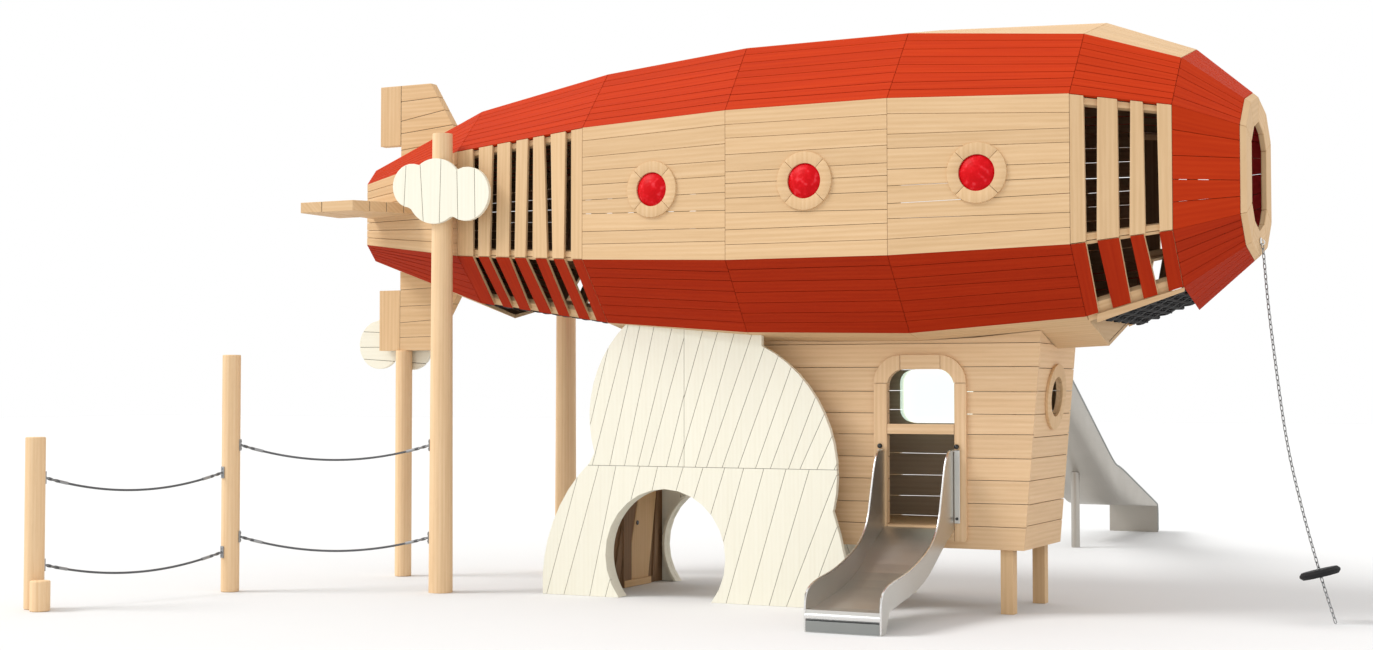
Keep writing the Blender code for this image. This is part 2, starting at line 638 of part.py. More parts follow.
def cloud_wall_outline(crawl_hole):
    """The big cloud's edge from its foot at the tail end over the top to its other foot, and the crawl hole."""
    def at_height(lobe, z, side):
        x, middle_z, radius = lobe
        return x + side * (radius ** 2 - (z - middle_z) ** 2) ** 0.5

    def at_place(lobe, x):
        middle_x, middle_z, radius = lobe
        return middle_z + (radius ** 2 - (x - middle_x) ** 2) ** 0.5

    foot_left = (at_height(LOWER_LEFT_LOBE, 0, -1), 0)
    waist = (at_height(LOWER_LEFT_LOBE, 1.06, -1), 1.06)
    waist_top = (at_height(UPPER_LEFT_LOBE, 1.14, -1), 1.14)
    top_left = (CLOUD_TOP_LEFT_X, at_place(UPPER_LEFT_LOBE, CLOUD_TOP_LEFT_X))
    top_right = (CLOUD_TOP_RIGHT_X, at_place(UPPER_RIGHT_LOBE, CLOUD_TOP_RIGHT_X))
    notch = (at_height(UPPER_RIGHT_LOBE, 0.741, 1), 0.741)
    notch_low = (at_height(LOWER_RIGHT_LOBE, 0.735, 1), 0.735)
    foot_right = (at_height(LOWER_RIGHT_LOBE, 0, 1), 0)
    outline = arc_between(LOWER_LEFT_LOBE, foot_left, waist, 8)
    outline += arc_between(UPPER_LEFT_LOBE, waist_top, top_left, 10)
    outline += [(CLOUD_TOP_LEFT_X, CLOUD_WALL_TOP), (CLOUD_TOP_RIGHT_X, CLOUD_WALL_TOP)]
    outline += arc_between(UPPER_RIGHT_LOBE, top_right, notch, 12)
    outline += arc_between(LOWER_RIGHT_LOBE, notch_low, foot_right, 4)
    x, z, radius = crawl_hole
    spread = pi / 2 + atan2(z, (radius ** 2 - z ** 2) ** 0.5)
    return outline + arc(x, z, radius, pi / 2 - spread, pi / 2 + spread, 20)


def build_cloud_walls(envelope):
    middle = CLOUD_WALL_FACE - CLOUD_WALL_THICKNESS / 2
    for name, side, hole in (("cloud_wall_near", -1, CRAWL_HOLE_NEAR), ("cloud_wall_far", 1, CRAWL_HOLE_FAR)):
        wall = plate(name, [cloud_wall_outline(hole)], CLOUD_WALL_THICKNESS, across_hull(side * middle), CREAM)
        combine(wall, envelope)
    end = CLOUD_WALL_FACE - CLOUD_WALL_THICKNESS - SEAT_GAP
    board = PARTITION_X + PARTITION_THICKNESS
    proud, half_plank = PARTITION_PLANK
    outline = [(PARTITION_X, -end), (board, -end), (board, -half_plank), (board + proud, -half_plank),
               (board + proud, half_plank), (board, half_plank), (board, end), (PARTITION_X, end)]
    plate("partition", [outline], PARTITION_HEIGHT, Matrix.Translation((0, 0, PARTITION_HEIGHT / 2)), WOOD_INSIDE)


def end_wall_x(bottom_x, lean, z):
    """Where the outer face of a leaning end wall of the cabin stands at a height."""
    return bottom_x + lean * (z - CABIN_BOTTOM)


def build_cabin(envelope):
    def front_x(z):
        return end_wall_x(CABIN_FRONT_BOTTOM_X, CABIN_FRONT_LEAN, z)

    def rear_x(z):
        return end_wall_x(CABIN_REAR_BOTTOM_X, CABIN_REAR_LEAN, z)

    low, high = CABIN_BOTTOM, CABIN_WALL_REACH
    side_outline = [(rear_x(low), low), (front_x(low), low), (front_x(high), high), (rear_x(high), high)]
    door = rounded_box(*DOOR_X, *DOOR_Z, DOOR_CORNER, 0)
    window = rounded_box(*FAR_WINDOW_X, *FAR_WINDOW_Z, FAR_WINDOW_CORNER, FAR_WINDOW_CORNER)
    middle = CABIN_FACE - CABIN_WALL / 2
    for name, side, opening in (("cabin_wall_near", -1, door), ("cabin_wall_far", 1, window)):
        wall = plate(name, [side_outline, opening], CABIN_WALL, across_hull(side * middle), WOOD)
        combine(wall, envelope)
    inside = CABIN_FACE - CABIN_WALL - SEAT_GAP
    for name, outer_x, inward in (("cabin_wall_front", front_x, -1), ("cabin_wall_rear", rear_x, 1)):
        outline = [(outer_x(low), low), (outer_x(high), high), (outer_x(high) + inward * CABIN_WALL, high),
                   (outer_x(low) + inward * CABIN_WALL, low)]
        wall = plate(name, [outline], 2 * inside, across_hull(0), WOOD)
        combine(wall, envelope)
        if name == "cabin_wall_front":
            lean = atan2(CABIN_FRONT_LEAN, 1)
            spot = (front_x(FRONT_WINDOW_Z), 0, FRONT_WINDOW_Z)
            place = Matrix.Translation(spot) @ Matrix.Rotation(pi / 2 + lean, 4, 'Y')
            hole = drum("front_window_hole", place, FRONT_WINDOW_RADIUS, FRONT_WINDOW_RADIUS, -0.1, 0.1, ROUND_SIDES)
            combine(wall, hole)
            ring_place = place @ Matrix.Translation((0, 0, SEAT_GAP + FRONT_RING_THICKNESS / 2))
            plate("front_window_ring", [circle(0, 0, FRONT_RING_RADIUS, ROUND_SIDES),
                                        circle(0, 0, FRONT_WINDOW_RADIUS, ROUND_SIDES)],
                  FRONT_RING_THICKNESS, ring_place, WOOD)
    frame = rounded_box(*DOOR_FRAME_X, *DOOR_FRAME_Z, DOOR_FRAME_CORNER, 0.02)
    lower_opening = rounded_box(*DOOR_X, DOOR_Z[0], DOOR_RAIL_Z[0], 0, 0)
    upper_opening = rounded_box(*DOOR_X, DOOR_RAIL_Z[1], DOOR_Z[1], DOOR_CORNER, 0)
    plate("door_frame", [frame, lower_opening, upper_opening], DOOR_FRAME_THICKNESS,
          across_hull(-CABIN_FACE - SEAT_GAP - DOOR_FRAME_THICKNESS / 2), WOOD)
    slack = 0.001
    floor_low = CABIN_FLOOR_TOP - CABIN_FLOOR_THICKNESS
    base = boxes("cabin_base", [((rear_x(floor_low) + CABIN_WALL + slack, -inside, floor_low),
                                 (front_x(floor_low) - CABIN_WALL - slack, inside, CABIN_FLOOR_TOP))], WOOD)
    half = CABIN_LEG / 2
    legs = boxes("cabin_legs", [((x - half, y - half, 0), (x + half, y + half, CABIN_WALL_REACH))
                                for x in CABIN_LEG_X for y in (-CABIN_LEG_Y, CABIN_LEG_Y)])
    combine(base, legs, 'UNION')
    combine(base, envelope)


def slide_channel(name, x, top, under, foot, end_height):
    """A steel channel: its side outline across the full width, hollowed out down to the trough."""
    back, front = foot
    direction = 1 if front > 0 else -1
    edge = eased_route(top, SLIDE_EASE, 4)
    lower = eased_route(under, SLIDE_EASE, 4)
    outline = edge + [(front, end_height), (front, 0), (back, 0)] + lower
    width = 2 * SLIDE_HALF_WIDTH
    slide = plate(name, [outline], width, along_hull(x), STEEL)
    trough = [(y, z + SLIDE_SHEET) for y, z in lower]
    past_end = (front + direction * 0.2, trough[0][1])
    at_wall = (trough[-1][0] - direction * 0.5, trough[-1][1])
    channel = [past_end] + trough + [at_wall, (at_wall[0], 4.0), (past_end[0], 4.0)]
    hollow = plate(name + "_hollow", [channel], width - 2 * SLIDE_SHEET, along_hull(x))
    combine(slide, hollow)
    return slide


def build_slides(envelope):
    slide_channel("slide_near", SLIDE_NEAR_X, SLIDE_NEAR_TOP, SLIDE_NEAR_UNDER, SLIDE_NEAR_FOOT, 0.15)
    far = slide_channel("slide_far", SLIDE_FAR_X, SLIDE_FAR_TOP, SLIDE_FAR_UNDER, SLIDE_FAR_FOOT, 0.31)
    combine(far, envelope)
    (upper_y, upper_z), (lower_y, lower_z) = SLIDE_FAR_UNDER[3], SLIDE_FAR_UNDER[2]
    slope = (lower_z - upper_z) / (lower_y - upper_y)
    leg_top = upper_z + slope * (SLIDE_LEG_Y - upper_y) - abs(slope) * SLIDE_LEG_RADIUS - 2 * SEAT_GAP
    leg = drum("slide_far_leg", upright(SLIDE_FAR_X, SLIDE_LEG_Y), SLIDE_LEG_RADIUS, SLIDE_LEG_RADIUS,
               0, leg_top, 16, STEEL)
    smooth_shade(leg)
    face = CABIN_FACE + SEAT_GAP + DOOR_FRAME_THICKNESS
    for name, side in (("handle_left", -1), ("handle_right", 1)):
        x = SLIDE_NEAR_X + side * (SLIDE_HALF_WIDTH + HANDLE_RADIUS + SEAT_GAP)
        dome = arc(0, HANDLE_Z[1] - HANDLE_RADIUS, HANDLE_RADIUS, pi / 2, 0, 4)
        dome[0] = (0, HANDLE_Z[1])
        place = Matrix.Translation((x, -face - HANDLE_RADIUS - SEAT_GAP, 0))
        smooth_shade(turned(name, dome + [(HANDLE_RADIUS, HANDLE_Z[0]), (0, HANDLE_Z[0])], 16, place, STEEL))


def cord_tube(name, route, radius, finish):
    curve = bpy.data.curves.new(name, 'CURVE')
    curve.dimensions = '3D'
    curve.bevel_depth = radius
    curve.bevel_resolution = 2
    curve.use_fill_caps = True
    spline = curve.splines.new('POLY')
    spline.points.add(len(route) - 1)
    for point, spot in zip(spline.points, route):
        point.co = (*spot, 1)
    curve.materials.append(finish)
    PARTS.objects.link(bpy.data.objects.new(name, curve))


def hanging_rope(name, start, end, start_radius, end_radius, heights):
    """A rope that sags between two posts, from the face of one to the face of the other."""
    first_z, last_z, middle_z = heights
    along = Vector(end) - Vector(start)
    heading = along.normalized()
    start = Vector(start) + heading * (start_radius + ROPE_END_SPACE)
    end = Vector(end) - heading * (end_radius + ROPE_END_SPACE)
    sag = (first_z + last_z) / 2 - middle_z
    route = []
    for i in range(ROPE_STEPS + 1):
        t = i / ROPE_STEPS
        x, y = start.lerp(end, t)
        route.append((x, y, first_z + (last_z - first_z) * t - 4 * sag * t * (1 - t)))
    cord_tube(name, route, ROPE_RADIUS, ROPE)


def tail_post_radius(z):
    return TAIL_POST_FOOT_RADIUS - (TAIL_POST_FOOT_RADIUS - TAIL_POST_TOP_RADIUS) * z / TAIL_POST_HEIGHT


def build_cords():
    for name, *heights in ROPE_HEIGHTS_OUTER:
        hanging_rope(name, ROPE_POST_OUTER, ROPE_POST_INNER, ROPE_POST_RADIUS, ROPE_POST_RADIUS, heights)
    for name, *heights in ROPE_HEIGHTS_INNER:
        hanging_rope(name, ROPE_POST_INNER, (TAIL_POST_X, -TAIL_POST_Y), ROPE_POST_RADIUS,
                     tail_post_radius(heights[1]), heights)
    route = smooth_route([(x, 0.0, z) for x, z in CHAIN_ROUTE], CHAIN_STEPS)
    cord_tube("mooring_chain", route, CHAIN_RADIUS, STEEL)
    half = DISC_THICKNESS / 2
    profile = [(DISC_BORE, half), (DISC_RADIUS - DISC_EDGE, half), (DISC_RADIUS, half - DISC_EDGE),
               (DISC_RADIUS, DISC_EDGE - half), (DISC_RADIUS - DISC_EDGE, -half), (DISC_BORE, -half),
               (DISC_BORE, half)]
    centre = Vector((DISC_CENTRE[0], 0, DISC_CENTRE[1]))
    below = Vector((CHAIN_ROUTE[-1][0], 0, CHAIN_ROUTE[-1][1]))
    above = Vector((CHAIN_ROUTE[-3][0], 0, CHAIN_ROUTE[-3][1]))
    lean = (above - below).to_track_quat('Z', 'Y').to_matrix().to_4x4()
    smooth_shade(turned("chain_disc", profile, 28, Matrix.Translation(centre) @ lean, BLACK))


for old in list(bpy.data.objects):
    bpy.data.objects.remove(old, do_unlink=True)

PARTS = fresh_collection("playground_airship")
CUTTERS = fresh_collection("cutters")
WOOD = material("pale_wood", (0.78, 0.58, 0.38), 0.55)
WOOD_INSIDE = material("shaded_wood", (0.42, 0.27, 0.16), 0.60)
RED = material("red_stained_wood", (0.66, 0.075, 0.022), 0.50)
RED_GLOSS = material("red_dome_plastic", (0.60, 0.01, 0.015), 0.12)
CREAM = material("cream_painted_wood", (0.86, 0.83, 0.72), 0.50)
STEEL = material("stainless_steel", (0.60, 0.60, 0.60), 0.28, 1.0)
BLACK = material("black_rubber", (0.02, 0.02, 0.02), 0.70)
ROPE = material("grey_rope", (0.17, 0.18, 0.20), 0.80)

ENVELOPE = hull_solid("hull_envelope", -2 * SEAM_GAP)
build_hull()
build_fins(ENVELOPE)
build_posts(ENVELOPE)
build_small_clouds()
build_cloud_walls(ENVELOPE)
build_cabin(ENVELOPE)
build_slides(ENVELOPE)
build_cords()
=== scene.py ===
import random
from math import atan2, cos, pi, radians, sin, tan

import bpy
from mathutils import Matrix, Vector


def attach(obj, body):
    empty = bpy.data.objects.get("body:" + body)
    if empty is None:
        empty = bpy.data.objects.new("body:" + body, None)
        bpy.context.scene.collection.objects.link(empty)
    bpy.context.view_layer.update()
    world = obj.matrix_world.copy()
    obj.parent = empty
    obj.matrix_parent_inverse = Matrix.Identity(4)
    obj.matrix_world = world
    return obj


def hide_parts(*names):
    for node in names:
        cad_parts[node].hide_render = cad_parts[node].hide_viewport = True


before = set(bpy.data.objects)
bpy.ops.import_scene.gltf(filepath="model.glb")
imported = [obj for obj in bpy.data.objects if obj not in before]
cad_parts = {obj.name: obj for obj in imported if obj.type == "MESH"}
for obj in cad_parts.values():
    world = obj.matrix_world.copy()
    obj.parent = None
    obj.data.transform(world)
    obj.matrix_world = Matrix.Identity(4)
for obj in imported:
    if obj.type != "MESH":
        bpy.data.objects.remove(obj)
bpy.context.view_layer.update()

luck = random.Random(41)  # every draw comes from here, so each run gives the same boards
alongX, overY, upZ = (1, 0, 0), (0, 1, 0), (0, 0, 1)

# camera: stands near the nose on the photographed side

cameraSettings = {"place": (9.802, -14.037, 1.629), "tilt": 91.99, "turn": 26.51, "lens": 50.05, "sensor": 36,
                  "reach": 200}


def putInScene(name, data):
    thing = bpy.data.objects.new(name, data)
    bpy.context.scene.collection.objects.link(thing)
    return thing


def addCamera():
    data = bpy.data.cameras.new("photoCamera")
    data.sensor_width = cameraSettings["sensor"]
    data.lens = cameraSettings["lens"]
    data.clip_end = cameraSettings["reach"]
    camera = putInScene("photoCamera", data)
    camera.location = cameraSettings["place"]
    camera.rotation_euler = (radians(cameraSettings["tilt"]), 0, radians(cameraSettings["turn"]))
    bpy.context.scene.camera = camera


addCamera()
print("camera placed")

# finishes


def mathNode(operation, reflected=False):
    # an operator's method: it adds a Math node, with its two values swapped if reflected
    def method(self, other):
        return self.sum(operation, *((other, self) if reflected else (self, other)))
    return method


class Wire:  # one output in a material's node tree, so that shader sums read like sums
    def __init__(self, finish, socket):
        self.finish = finish
        self.socket = socket

    def sum(self, operation, *values):
        return self.finish.node("ShaderNodeMath", {"operation": operation}, dict(enumerate(values)))

    __add__, __radd__ = mathNode("ADD"), mathNode("ADD", True)
    __sub__, __rsub__ = mathNode("SUBTRACT"), mathNode("SUBTRACT", True)
    __mul__, __rmul__ = mathNode("MULTIPLY"), mathNode("MULTIPLY", True)

    def wave(self):
        # a sine, moved to run from 0 to 1
        return self.sum("SINE", self) * 0.5 + 0.5


class Finish:  # a material whose nodes are all made by one method
    def __init__(self, name):
        self.material = bpy.data.materials.new(name)
        self.material.use_nodes = True
        self.tree = self.material.node_tree
        self.shader = self.tree.nodes["Principled BSDF"]

    def node(self, kind, settings, sockets, out=0):
        made = self.tree.nodes.new(kind)
        for key, value in settings.items():
            if key == "stops":
                for spot, colour in value:
                    stop = made.color_ramp.elements.new(spot)
                    stop.color = (*colour, 1)
                made.color_ramp.elements.remove(made.color_ramp.elements[0])
                made.color_ramp.elements.remove(made.color_ramp.elements[-1])
            else:
                setattr(made, key, value)
        for key, value in sockets.items():
            self.feed(made.inputs[key], value)
        return Wire(self, made.outputs[out])

    def feed(self, socket, value):
        if isinstance(value, Wire):
            self.tree.links.new(value.socket, socket)
        elif isinstance(value, tuple) and len(value) == 3 and socket.type == "RGBA":
            socket.default_value = (*value, 1)
        else:
            socket.default_value = value

    def set(self, **values):
        for key, value in values.items():
            self.feed(self.shader.inputs[key.replace("_", " ").title().replace("Ior", "IOR")], value)

    def objectPlace(self):
        return self.node("ShaderNodeTexCoord", {}, {}, out=3)

    def mapPlace(self, name):
        return self.node("ShaderNodeUVMap", {"uv_map": name}, {})

    def split(self, place):
        # the three numbers of a place
        first = self.node("ShaderNodeSeparateXYZ", {}, {0: place})
        return [Wire(self, output) for output in first.socket.node.outputs]

    def gather(self, *numbers):
        return self.node("ShaderNodeCombineXYZ", {}, dict(enumerate(numbers)))

    def ramp(self, share, stops):
        return self.node("ShaderNodeValToRGB", {"stops": stops}, {0: share})

    def mix(self, share, first, second, blend="MIX"):
        return self.node("ShaderNodeMix", {"data_type": "RGBA", "blend_type": blend},
                         {0: share, 6: first, 7: second}, out=2)

    def noise(self, place, scale, detail=2.0, rough=0.5):
        return self.node("ShaderNodeTexNoise", {}, {"Vector": place, "Scale": scale, "Detail": detail,
                                                    "Roughness": rough})

    def bump(self, height, strength, distance):
        self.set(normal=self.node("ShaderNodeBump", {}, {"Strength": strength, "Distance": distance,
                                                         "Height": height}))

    def complete(self, look, colour, rough, height):
        # the rest of a look: its roughness runs over a span from its least, and its relief follows a height
        self.set(base_color=colour, roughness=rough * look["roughSpan"] + look["roughFrom"],
                 specular_ior_level=look["gloss"])
        self.bump(height, look["bump"], look["relief"])
        return self.material


# sway, streak, pore, patch: the scale of a noise, its detail, and for two its roughness
paleLook = {"stretch": 0.04, "sway": (2.6, 2.0), "ringCount": 170, "ringSway": 16.0, "ringShare": 0.16,
            "streak": (34, 4.0, 0.62), "pore": (170, 2.0, 0.6), "poreBand": (0.6, 0.78), "patch": (1.4, 1.0),
            "boardJump": 40, "toneSpots": (0.15, 0.5, 0.85), "pores": 0.22, "poreColour": (0.42, 0.25, 0.12),
            "boardShift": 0.07, "patchShift": 0.06, "roughSpan": 0.22, "roughFrom": 0.49, "gloss": 0.14,
            "bump": 0.22, "relief": 0.0012, "poreRelief": 0.5,
            "tones": ((0.57, 0.37, 0.19), (0.655, 0.44, 0.243), (0.725, 0.512, 0.305))}
redLook = dict(paleLook, ringShare=0.14, pores=0.18, poreColour=(0.26, 0.01, 0.003), roughFrom=0.51,
               gloss=0.07, tones=((0.42, 0.025, 0.003), (0.48, 0.033, 0.004), (0.53, 0.044, 0.007)))
# the lower red tones are darker than the upper red's: painted shade on the downward-facing facets
shadedLowRedLook = dict(redLook, poreColour=(0.17, 0.006, 0.002),
                  tones=((0.32, 0.017, 0.002), (0.37, 0.023, 0.003), (0.415, 0.031, 0.005)))
# the nose's inside red is lighter than its outside red: painted light on the faces seen through the nose's
# hole
litNoseInsideLook = dict(redLook, tones=((0.7, 0.04, 0.045), (0.76, 0.05, 0.055), (0.8, 0.065, 0.07)))
creamLook = dict(paleLook, pores=0.08, poreColour=(0.72, 0.67, 0.54), boardShift=0.03, patchShift=0.03,
                 roughFrom=0.44, gloss=0.16, bump=0.12,
                 tones=((0.785, 0.75, 0.62), (0.82, 0.79, 0.665), (0.84, 0.812, 0.695)))
# the inside tones are dark brown: painted shade on the hull's inner faces, the slats' inner faces, the
# partition and the deck
shadedInnerLook = dict(paleLook, boardShift=0.16, poreColour=(0.1, 0.055, 0.03),
                 tones=((0.16, 0.09, 0.046), (0.22, 0.13, 0.07), (0.28, 0.175, 0.1)))
# the core's near-black tones are painted shade in the grooves between planks
shadePaintedCoreLook = dict(shadedInnerLook, tones=((0.05, 0.038, 0.026), (0.07, 0.054, 0.038), (0.09, 0.07, 0.05)))
# the posts' tones are lighter than the pale wood's: partly their own tone, partly painted light
postLook = dict(paleLook, tones=((0.7, 0.468, 0.258), (0.78, 0.546, 0.322), (0.845, 0.623, 0.392)))
cabinLook = dict(paleLook, tones=((0.62, 0.408, 0.222), (0.712, 0.486, 0.284), (0.79, 0.565, 0.356)))
# the cabin's inward faces are darker than its outer planks: painted shade
shadedCabinInsideLook = dict(paleLook, tones=((0.38, 0.292, 0.207), (0.445, 0.35, 0.252), (0.505, 0.405, 0.298)))


def boardPlace(finish, look):
    # the board's own metres: first along the grain, then across it, then a number of its own
    grain, tone = finish.mapPlace("grain"), finish.mapPlace("tone")
    along, across = finish.split(grain)[:2]
    own = finish.split(tone)[0]
    return finish.gather(along * look["stretch"], across, own * look["boardJump"]), across, own


deckFigure = {"slant": 0.7, "tone": (0.35, 0.0)}


def solidPlace(finish, look):
    # the deck keeps its CAD shape and has no map: its figure runs on metres in space
    spot = finish.objectPlace()
    x, y, z = finish.split(spot)
    own = finish.noise(spot, *deckFigure["tone"])
    return finish.gather(z * look["stretch"], x, y), x + y * deckFigure["slant"], own


def woodFinish(name, look, placing=boardPlace):
    finish = Finish(name)
    place, across, own = placing(finish, look)
    sway = finish.noise(place, *look["sway"])
    rings = (across * look["ringCount"] + sway * look["ringSway"]).wave()
    streaks = finish.noise(place, *look["streak"])
    pores = finish.noise(place, *look["pore"])
    figure = rings * look["ringShare"] + streaks * (1 - look["ringShare"])
    body = finish.ramp(figure, list(zip(look["toneSpots"], look["tones"])))
    start, end = look["poreBand"]
    dark = finish.node("ShaderNodeMapRange", {}, {0: pores, 1: start, 2: end, 3: 0.0, 4: look["pores"]})
    body = finish.mix(dark, body, look["poreColour"])
    weather = finish.noise(place, *look["patch"])
    boardShift, patchShift = look["boardShift"], look["patchShift"]
    shift = own * boardShift + weather * patchShift + (1 - (boardShift + patchShift) / 2)
    colour = finish.mix(1.0, body, finish.gather(shift, shift, shift), "MULTIPLY")
    return finish.complete(look, colour, streaks, streaks + pores * look["poreRelief"])


brushing = {"length": 3.0, "width": 160.0, "detail": 3.0, "rough": 0.7, "cloudScale": 2.4, "brushShare": 0.16,
            "cloudShare": 0.1, "middle": 0.21, "bump": 0.07, "relief": 0.0006}


def steelFinish(name, dark, light, rough):
    finish = Finish(name)
    spot = finish.objectPlace()
    length, width = brushing["length"], brushing["width"]
    ways = [finish.node("ShaderNodeMapping", {}, {0: spot, 3: scale})
            for scale in ((length, length, width), (width, length, length))]
    first, second = (finish.noise(way, 1.0, brushing["detail"], brushing["rough"]) for way in ways)
    brush = first + second
    clouds = finish.noise(spot, brushing["cloudScale"], brushing["detail"])
    roughness = brush * brushing["brushShare"] + clouds * brushing["cloudShare"] + (rough - brushing["middle"])
    finish.set(base_color=finish.mix(clouds, dark, light), metallic=1.0, roughness=roughness)
    finish.bump(brush, brushing["bump"], brushing["relief"])
    return finish.material


# the dome's lighter blots and its lightest tone are painted reflection; the same noise varies its roughness
# and relief
domeLook = {"paintedReflectionBlots": (26, 1.0), "roughSpan": 0.2, "roughFrom": 0.35, "gloss": 0.12, "bump": 0.12,
            "relief": 0.003,
            "tones": [(0.42, (0.56, 0.0, 0.003)), (0.58, (0.64, 0.002, 0.007)), (0.72, (0.72, 0.035, 0.045))]}
rubberLook = {"grit": (420, 2.0), "dust": (9, 3.0), "black": (0.007, 0.007, 0.008),
              "dusty": (0.018, 0.018, 0.019), "roughSpan": 0.2, "roughFrom": 0.6, "gloss": 0.25, "bump": 0.35,
              "relief": 0.0008}


def domeFinish():
    finish = Finish("redDomePlastic")
    paintedReflectionBlots = finish.noise(finish.objectPlace(), *domeLook["paintedReflectionBlots"])
    return finish.complete(domeLook, finish.ramp(paintedReflectionBlots, domeLook["tones"]), paintedReflectionBlots, paintedReflectionBlots)


def rubberFinish():
    finish = Finish("blackRubber")
    spot = finish.objectPlace()
    grit = finish.noise(spot, *rubberLook["grit"])
    dust = finish.noise(spot, *rubberLook["dust"])
    return finish.complete(rubberLook, finish.mix(dust, rubberLook["black"], rubberLook["dusty"]), grit, grit)


ropeLook = {"layLength": 0.024, "strands": 3, "fibreLength": 0.0032, "fibres": 12, "wear": (30, 3.0),
            "grooveShade": (0.03, 0.032, 0.036), "strand": (0.15, 0.155, 0.165), "worn": (0.23, 0.23, 0.235),
            "wornShare": 0.35, "roughSpan": 0.15, "roughFrom": 0.68, "gloss": 0.5, "fibreRelief": 0.3,
            "bump": 0.8, "relief": 0.003}


def ropeFinish():
    # three strands laid round each other: the map runs along the rope and round it
    finish = Finish("greyRope")
    along, turn = finish.split(finish.mapPlace("grain"))[:2]
    lay = (along * (2 * pi / ropeLook["layLength"]) + turn * (2 * pi * ropeLook["strands"])).wave()
    fibre = (along * (2 * pi / ropeLook["fibreLength"]) - turn * (2 * pi * ropeLook["fibres"])).wave()
    wear = finish.noise(finish.objectPlace(), *ropeLook["wear"])
    # the dark colour in the grooves between the strands is painted shade
    body = finish.mix(lay, ropeLook["grooveShade"], ropeLook["strand"])
    colour = finish.mix(wear * ropeLook["wornShare"], body, ropeLook["worn"])
    return finish.complete(ropeLook, colour, fibre, lay + fibre * ropeLook["fibreRelief"])


paleWood = woodFinish("paleWood", paleLook)
redWood = woodFinish("redStainedWood", redLook)
shadedLowRedWood = woodFinish("redStainedWoodLowPaintedShade", shadedLowRedLook)
creamWood = woodFinish("creamPaintedWood", creamLook)
shadedInnerWood = woodFinish("shadedWood", shadedInnerLook)
postWood = woodFinish("postWood", postLook)
litNoseInside = woodFinish("redStainedWoodInsidePaintedLight", litNoseInsideLook)
cabinWood = woodFinish("cabinWood", cabinLook)
shadedCabinInside = woodFinish("cabinInsideShadedWood", shadedCabinInsideLook)
shadePaintedCoreWood = woodFinish("groovePaintedShadeCore", shadePaintedCoreLook)
# the deck keeps the dark inside tones as painted shade
shadedDeckWood = woodFinish("shadedDeckWood", shadedInnerLook, solidPlace)
steel = steelFinish("brushedSteel", (0.6, 0.595, 0.565), (0.705, 0.697, 0.665), 0.4)
# the far slide, its leg and its collar take a darker steel than the near slide: painted shade
shadedFarSteel = steelFinish("brushedSteelFarShaded", (0.415, 0.39, 0.35), (0.515, 0.485, 0.44), 0.46)
brightSteel = steelFinish("polishedSteel", (0.72, 0.715, 0.7), (0.82, 0.815, 0.8), 0.26)
chainSteel = steelFinish("galvanisedSteel", (0.3, 0.305, 0.31), (0.42, 0.425, 0.43), 0.5)
darkerSteel = steelFinish("brushedSteelShaded", (0.27, 0.28, 0.27), (0.34, 0.35, 0.34), 0.42)
darkSteel = steelFinish("darkSteel", (0.045, 0.048, 0.05), (0.085, 0.088, 0.09), 0.3)
domeRed = domeFinish()
rubber = rubberFinish()
ropeGrey = ropeFinish()
print("finishes made")

# hands: small steps that every piece uses


def letGo():
    if bpy.context.mode != "OBJECT":
        bpy.ops.object.mode_set(mode="OBJECT")
    bpy.ops.object.select_all(action="DESELECT")


def pickUp(*pieces):
    letGo()
    for piece in pieces:
        piece.select_set(True)
    bpy.context.view_layer.objects.active = pieces[0]


def newPiece(add, **settings):
    letGo()
    add(**settings)
    return bpy.context.active_object


def ownCopy(mesh, name):
    return putInScene(name, mesh.copy())


def toss(piece):
    bpy.data.objects.remove(piece, do_unlink=True)


def patternOf(piece):
    # keeps a piece's mesh for copies, and drops the piece
    mesh = piece.data.copy()
    toss(piece)
    return mesh


def settle(piece, size=(1, 1, 1)):
    piece.scale = size
    pickUp(piece)
    bpy.ops.object.transform_apply(location=True, rotation=True, scale=True)
    return piece


def useModifier(piece, kind, **settings):
    pickUp(piece)
    modifier = piece.modifiers.new(kind.title(), kind)
    for key, value in settings.items():
        setattr(modifier, key, value)
    bpy.ops.object.modifier_apply(modifier=modifier.name)


def easeEdges(piece, width=0.0016, steps=1):
    useModifier(piece, "BEVEL", width=width, segments=steps, limit_method="ANGLE", angle_limit=radians(40))


def editAll(piece, *steps):
    # each step is a mesh operator with its settings, used on the whole piece
    pickUp(piece)
    bpy.ops.object.mode_set(mode="EDIT")
    for operator, settings in steps:
        bpy.ops.mesh.select_all(action="SELECT")
        operator(**settings)
    bpy.ops.object.mode_set(mode="OBJECT")


def editEdges(piece, wanted, operator, **settings):
    # uses a mesh operator on the edges whose two ends pass a test
    mesh = piece.data
    for part in (*mesh.vertices, *mesh.polygons):
        part.select = False
    for edge in mesh.edges:
        edge.select = wanted(*(mesh.vertices[i].co for i in edge.vertices))
    pickUp(piece)
    bpy.ops.object.mode_set(mode="EDIT")
    bpy.ops.mesh.select_mode(type="EDGE")
    operator(**settings)
    bpy.ops.object.mode_set(mode="OBJECT")


outwards = (bpy.ops.mesh.normals_make_consistent, {"inside": False})


def makeBlock(low, high):
    middle = [(a + b) / 2 for a, b in zip(low, high)]
    block = newPiece(bpy.ops.mesh.primitive_cube_add, size=1, location=middle)
    return settle(block, [b - a for a, b in zip(low, high)])


def facing(axis, spot):
    # a place for a round piece, turned a quarter about an axis
    return Matrix.Translation(spot) @ Matrix.Rotation(pi / 2, 4, axis)


